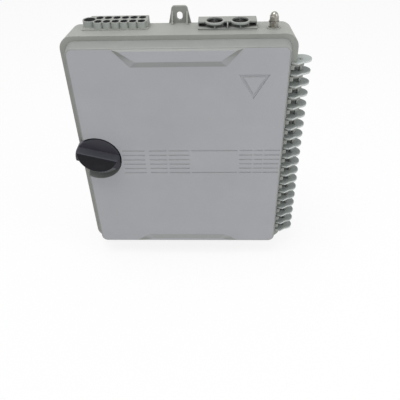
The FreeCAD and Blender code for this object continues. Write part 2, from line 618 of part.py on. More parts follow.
def make_base_posts():
    """Bored posts on the back wall for the tray, the adapter bracket and the cable clamps."""
    body = make_body("base_posts")
    for name, stand, places in post_rows():
        posts = make_sketch(body, name, "XZ_Plane", "back_wall + fixed_gap")
        for x, z in places:
            add_circle(posts, x, z, "post_radius")
        pad(body, posts, stand + " - fixed_gap")
        holes = make_sketch(body, name + "_hole", "XZ_Plane", "back_wall + " + stand)
        for x, z in places:
            add_circle(holes, x, z, "screw_radius + fixed_gap")
        pocket(body, holes, stand)
    return body


# Port blocks in the top wall


MAIN_LEFT = "main_port_x - (main_port_pitch / 2 + main_port_radius + main_side_margin)"
MAIN_RIGHT = "main_port_x + (main_port_pitch / 2 + main_port_radius + main_side_margin)"
MAIN_LOW = "-(main_port_depth + %s)" % MAIN_RIM
MAIN_HIGH = "-(main_port_depth - %s)" % MAIN_RIM
SPIGOT_LEFT = "main_port_x - (main_port_pitch / 2 + %s)" % MAIN_TUBE
SPIGOT_RIGHT = "main_port_x + (main_port_pitch / 2 + %s)" % MAIN_TUBE
SPIGOT_LOW = "-(main_port_depth + %s)" % MAIN_TUBE
SPIGOT_HIGH = "-(main_port_depth - %s)" % MAIN_TUBE
FLANGE_LOW = SPIGOT_LOW + " - main_flange_lip"
DROP_LEFT = "-(end_port_x + %s)" % END_TUBE
DROP_RIGHT = "-(%s - drop_end_wall)" % DROP_LAST_X
DROP_LOW = "-(drop_front_depth + drop_length / 2 + drop_tube_wall)"
DROP_HIGH = "-(%s - drop_length / 2 - drop_tube_wall)" % DROP_BACK_DEPTH
DROP_SPIGOT_LEFT = "-(end_port_x + end_port_radius + drop_tube_wall / 2)"
DROP_SPIGOT_RIGHT = "-(%s - drop_radius - drop_tube_wall / 2)" % DROP_LAST_X
DROP_SPIGOT_LOW = "-(drop_front_depth + drop_length / 2 + drop_tube_wall / 2)"
DROP_SPIGOT_HIGH = "-(%s - drop_length / 2 - drop_tube_wall / 2)" % DROP_BACK_DEPTH


def main_port_places():
    return ["main_port_x %s main_port_pitch / 2" % side for side in "-+"]


def make_main_port_block():
    """The block with the two main cable ports: a foot flange, a back wall, ribs and a scalloped top plate."""
    block = make_body("main_port_block")
    flange = make_sketch(block, "foot_flange", "XY_Plane", TOP)
    add_rectangle(flange, MAIN_LEFT, MAIN_RIGHT, FLANGE_LOW, MAIN_HIGH, "main_corner")
    pad(block, flange, "main_flange_thickness")
    spigot = make_sketch(block, "spigot", "XY_Plane", TOP + " - port_spigot")
    add_rectangle(spigot, SPIGOT_LEFT, SPIGOT_RIGHT, SPIGOT_LOW, SPIGOT_HIGH)
    pad(block, spigot, "port_spigot")
    wall = make_sketch(block, "back_wall", "XY_Plane", TOP)
    add_rectangle(wall, MAIN_LEFT + " + main_corner / 3", MAIN_RIGHT + " - main_corner / 3",
                  MAIN_HIGH + " - main_back_wall", MAIN_HIGH + " - main_corner / 3")
    pad(block, wall, "port_rise - main_plate_thickness / 2")
    middles = main_port_places() + ["main_port_x"]
    ends = [MAIN_LEFT + " + main_rib_thickness / 2", MAIN_RIGHT + " - main_rib_thickness / 2"]
    for number, x in enumerate(middles + ends):
        front = FLANGE_LOW if x in middles else "-main_port_depth"
        rib = make_sketch(block, "rib_%d" % number, "XY_Plane", TOP)
        add_rectangle(rib, x + " - main_rib_thickness / 2", x + " + main_rib_thickness / 2",
                      front, MAIN_HIGH + " - main_corner")
        pad(block, rib, "port_rise - main_plate_thickness / 2")
    back = make_sketch(block, "top_plate", "XY_Plane", TOP + " + port_rise")
    add_rectangle(back, MAIN_LEFT, MAIN_RIGHT, "-main_port_depth - main_port_radius / 2", MAIN_HIGH,
                  "main_corner")
    pad(block, back, "main_plate_thickness", reverse=True)
    for number, x in enumerate(main_port_places()):
        collar = make_sketch(block, "collar_%d" % number, "XY_Plane", TOP + " + port_rise")
        add_circle(collar, x, "-main_port_depth", MAIN_RIM)
        pad(block, collar, "main_plate_thickness", reverse=True)
    bores = make_sketch(block, "bores", "XY_Plane", TOP + " + port_rise")
    for x in main_port_places():
        add_circle(bores, x, "-main_port_depth", "main_port_radius")
    pocket(block, bores, "port_rise + port_spigot")
    return block


def make_drop_port_block():
    """The cluster of drop port tubes: two rows of oval ports and one larger spare port at the left end."""
    block = make_body("drop_port_block")
    core = make_sketch(block, "drop_core", "XY_Plane", TOP)
    add_rectangle(core, "-end_port_x", DROP_RIGHT, "-drop_front_depth", DROP_HIGH, "drop_tube_wall")
    pad(block, core, "port_rise")
    end_tube = make_sketch(block, "end_tube", "XY_Plane", TOP)
    add_circle(end_tube, "-end_port_x", "-end_port_depth", END_TUBE)
    pad(block, end_tube, "port_rise")
    tube = make_sketch(block, "drop_tube", "XY_Plane", TOP)
    add_slot(tube, "-drop_first_x", "-drop_front_depth", DROP_TUBE, "(drop_length + 2 * drop_tube_wall)")
    first = pad(block, tube, "port_rise")
    repeat(block, [first], "X_Axis", "(drop_columns - 1) * drop_spacing", "drop_columns", True)
    spigot = make_sketch(block, "drop_spigot", "XY_Plane", TOP + " - port_spigot")
    add_rectangle(spigot, DROP_SPIGOT_LEFT, DROP_SPIGOT_RIGHT, DROP_SPIGOT_LOW, DROP_SPIGOT_HIGH)
    pad(block, spigot, "port_spigot")
    holes = make_sketch(block, "drop_holes", "XY_Plane", TOP + " + port_rise")
    for depth in ("drop_front_depth", DROP_BACK_DEPTH):
        add_slot(holes, "-drop_first_x", "-" + depth, "drop_radius", "drop_length")
    cut = pocket(block, holes, "port_rise + port_spigot")
    repeat(block, [cut], "X_Axis", "(drop_columns - 1) * drop_spacing", "drop_columns", False)
    end_hole = make_sketch(block, "end_hole", "XY_Plane", TOP + " + port_rise")
    add_circle(end_hole, "-end_port_x", "-end_port_depth", "end_port_radius")
    pocket(block, end_hole, "port_rise + port_spigot")
    return block


def make_drop_port_plugs():
    """One rubber plug in each drop port."""
    plugs = make_body("drop_port_plugs")
    plug = make_sketch(plugs, "plug", "XY_Plane", TOP + " + port_rise - plug_sink")
    for depth in ("drop_front_depth", DROP_BACK_DEPTH):
        add_slot(plug, "-drop_first_x", "-" + depth, "(drop_radius - fixed_gap)",
                 "(drop_length - 2 * fixed_gap)")
    first = pad(plugs, plug, "plug_length", reverse=True)
    repeat(plugs, [first], "X_Axis", "(drop_columns - 1) * drop_spacing", "drop_columns", True)
    return plugs


def make_end_port_plug():
    """The rubber plug of the spare port."""
    body = make_body("end_port_plug")
    plug = make_sketch(body, "end_plug", "XY_Plane", TOP + " + port_rise - plug_sink")
    add_circle(plug, "-end_port_x", "-end_port_depth", "end_port_radius - fixed_gap")
    pad(body, plug, "plug_length", reverse=True)
    return body


# Earth stud


def add_hexagon(sketch, x, y, flats):
    """A hexagon with two flats across the X axis."""
    tall = "(%s / sqrt(3))" % flats
    half = "(%s / 2)" % flats
    right = "%s + %s" % (x, half)
    left = "%s - %s" % (x, half)
    low = "%s - %s / 2" % (y, tall)
    high = "%s + %s / 2" % (y, tall)
    add_profile(sketch, [
        (right, low), (right, high), (x, "%s + %s" % (y, tall)),
        (left, high), (left, low), (x, "%s - %s" % (y, tall))])


def earth_levels():
    """Where the earth pieces start, from the outer washer upwards and from the inner washer downwards."""
    outer_nut = TOP + " + earth_washer_thickness"
    upper_washer = outer_nut + " + earth_nut_thickness"
    dome = upper_washer + " + earth_washer_thickness"
    inner_washer = TOP + " - seat_thickness - earth_washer_thickness"
    inner_nut = inner_washer + " - earth_nut_thickness"
    return {"outer_nut": outer_nut, "upper_washer": upper_washer, "dome": dome,
            "inner_washer": inner_washer, "inner_nut": inner_nut}


def make_earth_stud():
    body = make_body("earth_stud")
    low = earth_levels()["inner_nut"] + " - earth_washer_thickness"
    stud = make_sketch(body, "stud", "XY_Plane", low)
    add_circle(stud, "stud_x", "-stud_depth", "stud_radius")
    pad(body, stud, "%s + stud_rise - (%s)" % (TOP, low))
    return body


def add_ring(body, name, level, radius, height):
    ring = make_sketch(body, name, "XY_Plane", level)
    add_circle(ring, "stud_x", "-stud_depth", radius)
    add_circle(ring, "stud_x", "-stud_depth", "stud_radius + fixed_gap")
    pad(body, ring, height)


def make_earth_washers():
    body = make_body("earth_washers")
    levels = earth_levels()
    for name, level in (("washer_low", levels["inner_washer"]), ("washer_seat", TOP),
                        ("washer_up", levels["upper_washer"])):
        add_ring(body, name, level, "earth_washer_radius", "earth_washer_thickness")
    return body


def make_earth_nuts():
    body = make_body("earth_nuts")
    levels = earth_levels()
    for name in ("outer_nut", "inner_nut"):
        nut = make_sketch(body, name, "XY_Plane", levels[name])
        add_hexagon(nut, "stud_x", "-stud_depth", "earth_nut_flats")
        add_circle(nut, "stud_x", "-stud_depth", "stud_radius + fixed_gap")
        pad(body, nut, "earth_nut_thickness")
    return body


def make_earth_dome_nut():
    """The dome nut on the stud's end: a hexagon with a half round cap, bored for the stud."""
    body = make_body("earth_dome_nut")
    level = earth_levels()["dome"]
    hexagon = make_sketch(body, "dome_hexagon", "XY_Plane", level)
    add_hexagon(hexagon, "stud_x", "-stud_depth", "earth_nut_flats")
    pad(body, hexagon, "dome_base")
    cap = make_sketch(body, "dome_cap", "XY_Plane", level)
    add_circle(cap, "stud_x", "-stud_depth", "dome_radius")
    tower = pad(body, cap, "dome_base + dome_radius")
    top = value(level + " + dome_base + dome_radius")
    round_edges(body, tower, "dome_radius * 0.9", lambda edge: lies_at(edge, "Z", top))
    bore = make_sketch(body, "dome_bore", "XY_Plane", level)
    add_circle(bore, "stud_x", "-stud_depth", "stud_radius + fixed_gap")
    pocket(body, bore, "%s + stud_rise - (%s) + fit_gap" % (TOP, level), reverse=True)
    return body


# Cover


def make_cover():
    cover = make_body("cover")
    make_lid(cover)
    make_latch_pocket(cover)
    make_face_relief(cover)
    groove = make_sketch(cover, "cover_seal_groove", "XZ_Plane", SEAM)
    add_seal_outline(groove, "fit_gap / 2")
    pocket(cover, groove, "seal_groove_depth", reverse=True)
    return cover


def make_lid(cover):
    """The drafted lid, hollow from behind."""
    outline = make_sketch(cover, "cover_outline", "XZ_Plane", SEAM)
    add_centred(outline, "cover_width", "cover_height", "cover_corner")
    lid = pad(cover, outline, FACE + " - " + SEAM, taper="-atan(cover_draft / (cover_depth - seam_gap))")
    front = -value(FACE)
    round_edges(cover, lid, "face_edge_radius", lambda edge: lies_at(edge, "Y", front))
    hollow = make_sketch(cover, "cover_hollow", "XZ_Plane", SEAM)
    add_centred(hollow, "(cover_width - 2 * cover_wall)", "(cover_height - 2 * cover_wall)",
                "(cover_corner - cover_wall)")
    pocket(cover, hollow, FACE + " - " + SEAM + " - cover_face", reverse=True)


def add_seal_outline(sketch, gap):
    """The two outlines of the seal, centred in the cover's rim and widened by a gap."""
    for side in ("+ (seal_width / 2 + %s)" % gap, "- (seal_width / 2 + %s)" % gap):
        inset = "(cover_wall / 2 - (0 %s))" % side
        add_centred(sketch, "(cover_width - 2 * %s)" % inset, "(cover_height - 2 * %s)" % inset,
                    "(cover_corner - %s)" % inset)


def make_latch_pocket(cover):
    """The round pocket for the knob, open at the cover's left edge, with a boss for the latch shaft."""
    cup = make_sketch(cover, "latch_cup", "XZ_Plane", CUP_BACK)
    chord = "(cover_width / 2 - cover_wall * 0.8)"
    reach = "sqrt((latch_pocket_radius + latch_cup_wall)^2 - (%s - latch_x)^2)" % chord
    radius = "(latch_pocket_radius + latch_cup_wall)"
    add_profile(cup, [
        ("-" + chord, "-" + reach, radius, 1),
        ("%s - latch_x" % radius, "0", radius, 1),
        ("-" + chord, reach)])
    pad(cover, cup, "latch_pocket_depth + latch_cup_wall - cover_face / 2")
    boss = make_sketch(cover, "latch_boss", "XZ_Plane", RIM_BACK)
    add_circle(boss, "-latch_x", "0", "latch_boss_radius")
    pad(cover, boss, CUP_BACK + " - " + RIM_BACK + " + latch_cup_wall / 2")
    well = make_sketch(cover, "latch_well", "XZ_Plane", FACE)
    add_circle(well, "-latch_x", "0", "latch_pocket_radius")
    pocket(cover, well, "latch_pocket_depth")
    bore = make_sketch(cover, "latch_bore", "XZ_Plane", FACE)
    add_circle(bore, "-latch_x", "0", "shaft_radius + running_gap")
    pocket(cover, bore, FACE)


def make_face_relief(cover):
    """The two raised panels, the recessed outline of a triangle and the thin lines on the face."""
    make_panel(cover, "upper_panel", "panel_height", "")
    make_panel(cover, "lower_panel", "lower_panel_height", "-")
    inside = "(sign_half * sign_drop / (sign_half + sqrt(sign_half^2 + sign_drop^2)))"
    share = "(1 - sign_border / %s)" % inside
    triangle = make_sketch(cover, "triangle", "XZ_Plane", FACE)
    add_profile(triangle, [
        ("sign_x - sign_half", "sign_top_z"),
        ("sign_x", "sign_top_z - sign_drop"),
        ("sign_x + sign_half", "sign_top_z")])
    add_profile(triangle, [
        ("sign_x - sign_half * " + share, "sign_top_z - sign_border"),
        ("sign_x", "sign_top_z - %s - (sign_drop - %s) * %s" % (inside, inside, share)),
        ("sign_x + sign_half * " + share, "sign_top_z - sign_border")])
    pocket(cover, triangle, "sign_depth")
    make_lines(cover)


def make_panel(cover, name, height, sign):
    """A raised panel with sloping sides at the upper or lower edge of the face."""
    edge = "(cover_height / 2 - cover_draft - panel_margin)"
    inner = "(cover_height / 2 - cover_draft - %s)" % height
    foot = make_sketch(cover, name + "_foot", "XZ_Plane", FACE + " - line_depth")
    add_profile(foot, [
        ("-panel_edge_half", sign + edge),
        ("-panel_inner_half", sign + inner),
        ("panel_inner_half", sign + inner),
        ("panel_edge_half", sign + edge)])
    crown = make_sketch(cover, name + "_crown", "XZ_Plane", FACE + " + panel_rise")
    add_profile(crown, [
        ("panel_slope - panel_edge_half", sign + "(%s - panel_rise)" % edge),
        ("panel_slope - panel_inner_half", sign + "(%s + panel_slope)" % inner),
        ("panel_inner_half - panel_slope", sign + "(%s + panel_slope)" % inner),
        ("panel_edge_half - panel_slope", sign + "(%s - panel_rise)" % edge)])
    loft = cover.newObject("PartDesign::AdditiveLoft", name)
    loft.Profile = foot
    loft.Sections = [crown]
    loft.Ruled = True
    finish_feature(cover, loft, True)


def make_lines(cover):
    """Groups of thin level grooves across the face: only the outer two lines cross the plain field."""
    lines = make_sketch(cover, "lines", "XZ_Plane", FACE)
    for group in range(6):
        add_rectangle(lines, "group_%d_left" % group, "group_%d_right" % group,
                      "line_top_z - line_width / 2", "line_top_z + line_width / 2")
    first = pocket(cover, lines, "line_depth")
    repeat(cover, [first], "Z_Axis", LINES_SPAN, "line_count", False, back=True)
    field = make_sketch(cover, "field_lines", "XZ_Plane", FACE)
    for level in ("line_top_z", "(line_top_z - %s)" % LINES_SPAN):
        add_rectangle(field, "field_left", "field_right",
                      level + " - line_width / 2", level + " + line_width / 2")
    pocket(cover, field, "line_depth")


def make_cover_knuckles():
    """The cover's knuckles on the hinge rod: one in every cell of the comb, on an arm that dips into it."""
    knuckles = make_body("cover_knuckles")
    top = "fin_top_z - fin_thickness - knuckle_gap"
    wall = "(cover_width / 2 + fixed_gap)"
    low = "-(base_depth + arm_gap + seam_gap / 2)"
    high = "-(base_depth + arm_gap + seam_gap / 2 + arm_thickness)"
    inner = CELL_SIDE + " + arm_gap"
    outer = CELL_SIDE + " + arm_gap + arm_thickness"
    arm = make_sketch(knuckles, "arm", "XY_Plane", top)
    add_profile(arm, [
        (wall, low),
        (wall, high),
        (outer + " - arm_thickness / 3", high),
        (outer, high + " + arm_thickness / 2"),
        (outer + " + arm_thickness / 3", ROD_Y + " - knuckle_radius * 1.4"),
        (ROD_X + " + knuckle_radius / 2", ROD_Y + " - knuckle_radius * sqrt(3) / 2"),
        (ROD_X, ROD_Y),
        (ROD_X + " - knuckle_radius", ROD_Y),
        (inner + " + arm_thickness / 2", ROD_Y + " - knuckle_radius * 0.4"),
        (inner, ROD_Y + " - arm_thickness"),
        (inner, low)])
    arm_pad = pad(knuckles, arm, "knuckle_width", reverse=True)
    barrel = make_sketch(knuckles, "barrel", "XY_Plane", top)
    add_circle(barrel, ROD_X, ROD_Y, "knuckle_radius")
    barrel_pad = pad(knuckles, barrel, "knuckle_width", reverse=True)
    repeat(knuckles, [arm_pad, barrel_pad], "Z_Axis", "(fin_count - 2) * fin_pitch", "fin_count - 1", True,
           back=True)
    bore = make_sketch(knuckles, "knuckle_bore", "XY_Plane", "fin_top_z")
    add_circle(bore, ROD_X, ROD_Y, "rod_radius + running_gap")
    pocket(knuckles, bore, COMB_LENGTH)
    return knuckles


def make_cover_seal():
    """The rubber seal in the cover's rim."""
    body = make_body("cover_seal")
    ring = make_sketch(body, "seal", "XZ_Plane", "base_depth + seal_rest_gap")
    add_seal_outline(ring, "0")
    pad(body, ring, "seam_gap - seal_rest_gap + seal_groove_depth")
    return body


def make_hinge_rod():
    body = make_body("hinge_rod")
    rod = make_sketch(body, "rod", "XY_Plane", "fin_top_z + rod_radius / 2")
    add_circle(rod, ROD_X, ROD_Y, "rod_radius")
    pad(body, rod, COMB_LENGTH + " + rod_radius / 2", reverse=True)
    return body


# Latch


def knob_point(along, across):
    """A point of the knob, along and across its grip, which is turned from level."""
    x = "(%s) * cos(wing_tilt) + (%s) * sin(wing_tilt) - latch_x" % (along, across)
    z = "(%s) * cos(wing_tilt) - (%s) * sin(wing_tilt)" % (across, along)
    return (x, z)


def make_latch_knob():
    """The knob: a disc with a flat lower edge, a half-moon grip and a shaft with a square end for the cam."""
    knob = make_body("latch_knob")
    disc = make_sketch(knob, "disc", "XZ_Plane", POCKET_FLOOR + " + latch_lift")
    half = "sqrt(knob_radius^2 - knob_flat^2)"
    add_profile(disc, [
        knob_point(half, "-knob_flat") + ("knob_radius", 1),
        knob_point("0", "knob_radius") + ("knob_radius", 1),
        knob_point("-" + half, "-knob_flat")])
    plate = pad(knob, disc, "%s - %s - latch_lift" % (DISC_FRONT, POCKET_FLOOR))
    front = -value(DISC_FRONT)
    round_edges(knob, plate, "knob_edge", lambda edge: lies_at(edge, "Y", front))
    wing = make_sketch(knob, "grip", "XZ_Plane", DISC_FRONT + " - knob_edge")
    bow = "((wing_half^2 + wing_depth^2) / (2 * wing_depth))"
    add_profile(wing, [
        knob_point("-wing_half", "wing_offset") + (bow, 1),
        knob_point("0", "wing_offset - wing_depth") + (bow, 1),
        knob_point("wing_half", "wing_offset")])
    grip = pad(knob, wing, "wing_rise + knob_sink + knob_edge")
    peak = -value(FACE + " + wing_rise")
    round_edges(knob, grip, "knob_edge", lambda edge: lies_at(edge, "Y", peak))
    shaft = make_sketch(knob, "shaft", "XZ_Plane", CAM_FRONT)
    add_circle(shaft, "-latch_x", "0", "shaft_radius")
    pad(knob, shaft, "%s + 2 * latch_lift - %s" % (POCKET_FLOOR, CAM_FRONT))
    square = make_sketch(knob, "square_end", "XZ_Plane", CAM_BACK + " + fit_gap")
    add_rectangle(square, "-latch_x - cam_square / 2", "-latch_x + cam_square / 2",
                  "-cam_square / 2", "cam_square / 2")
    pad(knob, square, "cam_thickness - fit_gap + latch_lift")
    groove = make_sketch(knob, "seal_groove", "XZ_Plane", RIM_BACK + " + latch_boss_radius / 4")
    add_circle(groove, "-latch_x", "0", "shaft_radius + fit_gap")
    add_circle(groove, "-latch_x", "0", "shaft_radius - shaft_seal_size")
    pocket(knob, groove, "shaft_seal_size", reverse=True)
    thread = make_sketch(knob, "screw_hole", "XZ_Plane", CAM_BACK)
    add_circle(thread, "-latch_x", "0", "screw_radius + fixed_gap")
    pocket(knob, thread, "screw_length", reverse=True)
    return knob


def make_latch_seal():
    """The square-section ring in the shaft's groove."""
    body = make_body("latch_seal")
    ring = make_sketch(body, "shaft_ring", "XZ_Plane", RIM_BACK + " + latch_boss_radius / 4 + fit_gap / 2")
    add_circle(ring, "-latch_x", "0", "shaft_radius + running_gap / 2")
    add_circle(ring, "-latch_x", "0", "shaft_radius - shaft_seal_size + fixed_gap")
    pad(body, ring, "shaft_seal_size - fit_gap")
    return body


def make_latch_cam():
    """The cam behind the cover: it hangs down when the box is unlocked."""
    body = make_body("latch_cam")
    hub = make_sketch(body, "hub", "XZ_Plane", CAM_BACK)
    add_circle(hub, "-latch_x", "0", "cam_hub_radius")
    pad(body, hub, "cam_thickness")
    tongue = make_sketch(body, "tongue", "XZ_Plane", CAM_BACK)
    add_rectangle(tongue, "-latch_x - cam_width / 2", "-latch_x + cam_width / 2",
                  "-cam_length", "-cam_square / 2 - cam_thickness / 2", "cam_thickness / 2")
    pad(body, tongue, "cam_thickness")
    square = make_sketch(body, "square_hole", "XZ_Plane", CAM_FRONT)
    side = "(cam_square / 2 + fixed_gap)"
    add_rectangle(square, "-latch_x - " + side, "-latch_x + " + side, "-" + side, side)
    pocket(body, square, "cam_thickness")
    return body


def make_latch_screw():
    """The screw that holds the cam on the square end."""
    body = make_body("latch_screw")
    head = make_sketch(body, "head", "XZ_Plane", CAM_BACK)
    add_circle(head, "-latch_x", "0", "cam_hub_radius * 0.8")
    pad(body, head, "screw_head", reverse=True)
    shank = make_sketch(body, "shank", "XZ_Plane", CAM_BACK)
    add_circle(shank, "-latch_x", "0", "screw_radius")
    pad(body, shank, "screw_length - fit_gap")
    return body


# Inside the box


def make_screws(label, head_level, places):
    """A group of pan head screws that point at the wall, all at one level."""
    body = make_body(label)
    heads = make_sketch(body, label + "_head", "XZ_Plane", head_level)
    for x, z in places:
        add_circle(heads, x, z, "screw_head_radius")
    pad(body, heads, "screw_head")
    shanks = make_sketch(body, label + "_shank", "XZ_Plane", head_level)
    for x, z in places:
        add_circle(shanks, x, z, "screw_radius")
    pad(body, shanks, "screw_length", reverse=True)
    return body


def add_tray_outline(sketch, inset):
    add_rectangle(sketch, "-tray_width / 2 + " + inset, "tray_width / 2 - " + inset,
                  "-tray_z - tray_height / 2 + " + inset, "-tray_z + tray_height / 2 - " + inset,
                  "(tray_corner - %s)" % inset)


def make_splice_tray():
    """The splice tray: a round-cornered dish with two fibre mandrels and tabs that hold the fibres down."""
    tray = make_body("splice_tray")
    outline = make_sketch(tray, "tray_outline", "XZ_Plane", TRAY_FLOOR)
    add_tray_outline(outline, "0")
    pad(tray, outline, "tray_depth")
    dish = make_sketch(tray, "tray_dish", "XZ_Plane", TRAY_FRONT)
    add_tray_outline(dish, "tray_wall")
    pocket(tray, dish, "tray_depth - tray_wall")
    mandrels = make_sketch(tray, "mandrels", "XZ_Plane", TRAY_FLOOR + " + tray_wall / 2")
    for x in ("-mandrel_x", "mandrel_x"):
        add_circle(mandrels, x, "-tray_z", "mandrel_radius")
        add_circle(mandrels, x, "-tray_z", "mandrel_radius - tray_wall")
    pad(tray, mandrels, "mandrel_rise + tray_wall / 2")
    tabs = make_sketch(tray, "tabs", "XZ_Plane", TRAY_FRONT + " - tray_wall")
    for x in ("-mandrel_x", "mandrel_x"):
        add_rectangle(tabs, x + " - tab_length / 2", x + " + tab_length / 2",
                      "-tray_z + tray_height / 2 - tab_reach", "-tray_z + tray_height / 2 - tray_wall / 2")
        add_rectangle(tabs, x + " - tab_length / 2", x + " + tab_length / 2",
                      "-tray_z - tray_height / 2 + tray_wall / 2", "-tray_z - tray_height / 2 + tab_reach")
    pad(tray, tabs, "tray_wall")
    holes = make_sketch(tray, "tray_holes", "XZ_Plane", TRAY_FRONT)
    for x, z in post_rows()[0][2]:
        add_circle(holes, x, z, "screw_radius + fit_gap")
    pocket(tray, holes, "tray_depth")
    return tray


def make_splice_combs():
    """Two soft combs that hold the splice protectors."""
    body = make_body("splice_combs")
    places = ["-tray_z - comb_spread / 2", "-tray_z + comb_spread / 2"]
    blocks = make_sketch(body, "comb_blocks", "XZ_Plane", TRAY_FLOOR + " + tray_wall")
    for z in places:
        add_rectangle(blocks, "-comb_length / 2", "comb_length / 2",
                      z + " - comb_width / 2", z + " + comb_width / 2")
    pad(body, blocks, "comb_rise")
    slot_pitch = "(comb_width / comb_slots)"
    slots = make_sketch(body, "comb_slots", "XZ_Plane", TRAY_FLOOR + " + tray_wall + comb_rise")
    for z in places:
        low = "%s - comb_width / 2 + %s / 2" % (z, slot_pitch)
        add_rectangle(slots, "-comb_length", "comb_length",
                      low + " - comb_slot_width / 2", low + " + comb_slot_width / 2")
    first = pocket(body, slots, "comb_slot_depth")
    repeat(body, [first], "Z_Axis", "(comb_slots - 1) * " + slot_pitch, "comb_slots", False)
    return body


def make_tray_lid():
    """The clear lid of the splice tray."""
    body = make_body("tray_lid")
    outline = make_sketch(body, "lid_outline", "XZ_Plane", TRAY_FRONT)
    add_tray_outline(outline, "fit_gap")
    pad(body, outline, "tray_lid_thickness")
    notch = make_sketch(body, "lid_notch", "XZ_Plane", TRAY_FRONT + " + tray_lid_thickness")
    add_circle(notch, "0", "-tray_z + tray_height / 2", "tab_length")
    pocket(body, notch, "tray_lid_thickness")
    return body


def make_adapter_bracket():
    """The folded bracket: a foot on the posts and a shelf with a window for each adapter."""
    body = make_body("adapter_bracket")
    fold = make_sketch(body, "fold", "YZ_Plane", "-bracket_x - bracket_width / 2")
    foot_back = "-" + TRAY_FLOOR
    shelf_front = "-(%s + bracket_shelf)" % TRAY_FLOOR
    add_profile(fold, [
        (foot_back, "bracket_z - bracket_foot"),
        (foot_back, "bracket_z + bracket_sheet"),
        (shelf_front, "bracket_z + bracket_sheet"),
        (shelf_front, "bracket_z"),
        (foot_back + " - bracket_sheet", "bracket_z"),
        (foot_back + " - bracket_sheet", "bracket_z - bracket_foot")])
    pad(body, fold, "bracket_width")
    window = make_sketch(body, "window", "XY_Plane", "bracket_z + bracket_sheet")
    add_adapter_section(window, "fit_gap")
    cut = pocket(body, window, "bracket_sheet")
    repeat(body, [cut], "X_Axis", ADAPTER_SPAN, "adapter_count", False)
    holes = make_sketch(body, "bracket_holes", "XZ_Plane", TRAY_FLOOR + " + bracket_sheet")
    for x, z in post_rows()[1][2]:
        add_circle(holes, x, z, "screw_radius + fit_gap")
    pocket(body, holes, "bracket_sheet")
    return body


ADAPTER_SPAN = "(adapter_count - 1) * adapter_pitch"
ADAPTER_FIRST = "(-bracket_x - (adapter_count - 1) * adapter_pitch / 2)"
ADAPTER_Y = "-(%s + adapter_stand)" % TRAY_FLOOR
ADAPTER_LOW = "(bracket_z + bracket_sheet + adapter_flange / 2 - adapter_length / 2)"


def add_adapter_section(sketch, grow):
    """The section of the first adapter, made larger or smaller on every side."""
    half_width = "(adapter_width / 2 + (%s))" % grow
    half_depth = "(adapter_depth / 2 + (%s))" % grow
    add_rectangle(sketch, "%s - %s" % (ADAPTER_FIRST, half_width), "%s + %s" % (ADAPTER_FIRST, half_width),
                  "%s - %s" % (ADAPTER_Y, half_depth), "%s + %s" % (ADAPTER_Y, half_depth))


def make_fibre_adapters():
    """A row of square fibre adapters: each has a flange on the shelf and a mouth at both ends."""
    body = make_body("fibre_adapters")
    section = make_sketch(body, "adapter_body", "XY_Plane", ADAPTER_LOW)
    add_adapter_section(section, "0")
    barrel = pad(body, section, "adapter_length")
    flange = make_sketch(body, "adapter_flange", "XY_Plane", "bracket_z + bracket_sheet")
    add_rectangle(flange, ADAPTER_FIRST + " - adapter_width / 2", ADAPTER_FIRST + " + adapter_width / 2",
                  ADAPTER_Y + " - adapter_flange_depth / 2", ADAPTER_Y + " + adapter_flange_depth / 2")
    collar = pad(body, flange, "adapter_flange")
    upper = make_sketch(body, "upper_mouth", "XY_Plane", ADAPTER_LOW + " + adapter_length")
    add_adapter_section(upper, "-adapter_wall")
    upper_cut = pocket(body, upper, "adapter_mouth")
    lower = make_sketch(body, "lower_mouth", "XY_Plane", ADAPTER_LOW)
    add_adapter_section(lower, "-adapter_wall")
    lower_cut = pocket(body, lower, "adapter_mouth", reverse=True)
    repeat(body, [barrel, collar, upper_cut, lower_cut], "X_Axis", ADAPTER_SPAN, "adapter_count", True)
    return body


def make_adapter_dust_caps():
    """A dust cap in both mouths of every adapter."""
    body = make_body("adapter_dust_caps")
    pieces = []
    for name, level, down in (("upper_cap", ADAPTER_LOW + " + adapter_length", False),
                              ("lower_cap", ADAPTER_LOW, True)):
        cap = make_sketch(body, name, "XY_Plane", level)
        add_adapter_section(cap, "-adapter_wall / 2")
        pieces.append(pad(body, cap, "cap_rise", reverse=down))
        plug = make_sketch(body, name + "_plug", "XY_Plane", level)
        add_adapter_section(plug, "-adapter_wall - fit_gap")
        pieces.append(pad(body, plug, "cap_plug", reverse=not down))
    repeat(body, pieces, "X_Axis", ADAPTER_SPAN, "adapter_count", True)
    return body


def make_cable_clamps():
    """Two saddle clamps under the main ports, one for each cable."""
    body = make_body("cable_clamps")
    seat = "(back_wall + clamp_stand)"
    for number, x in enumerate(main_port_places()):
        strap = make_sketch(body, "strap_%d" % number, "XY_Plane", "clamp_z - clamp_width / 2")
        outer = "(clamp_radius + clamp_sheet)"
        front = "-%s - clamp_sheet" % seat
        rise = "sqrt(%s^2 - clamp_sheet^2)" % outer
        add_profile(strap, [
            (x + " - clamp_half", "-" + seat),
            (x + " - clamp_half", front),
            (x + " - " + rise, front, outer, 1),
            (x, "-%s - %s" % (seat, outer), outer, 1),
            (x + " + " + rise, front),
            (x + " + clamp_half", front),
            (x + " + clamp_half", "-" + seat),
            (x + " + clamp_radius", "-" + seat, "clamp_radius", -1),
            (x, "-%s - clamp_radius" % seat, "clamp_radius", -1),
            (x + " - clamp_radius", "-" + seat)])
        pad(body, strap, "clamp_width")
    holes = make_sketch(body, "clamp_holes", "XZ_Plane", seat + " + clamp_sheet")
    for x, z in post_rows()[2][2]:
        add_circle(holes, x, z, "screw_radius + fit_gap")
    pocket(body, holes, "clamp_sheet")
    return body


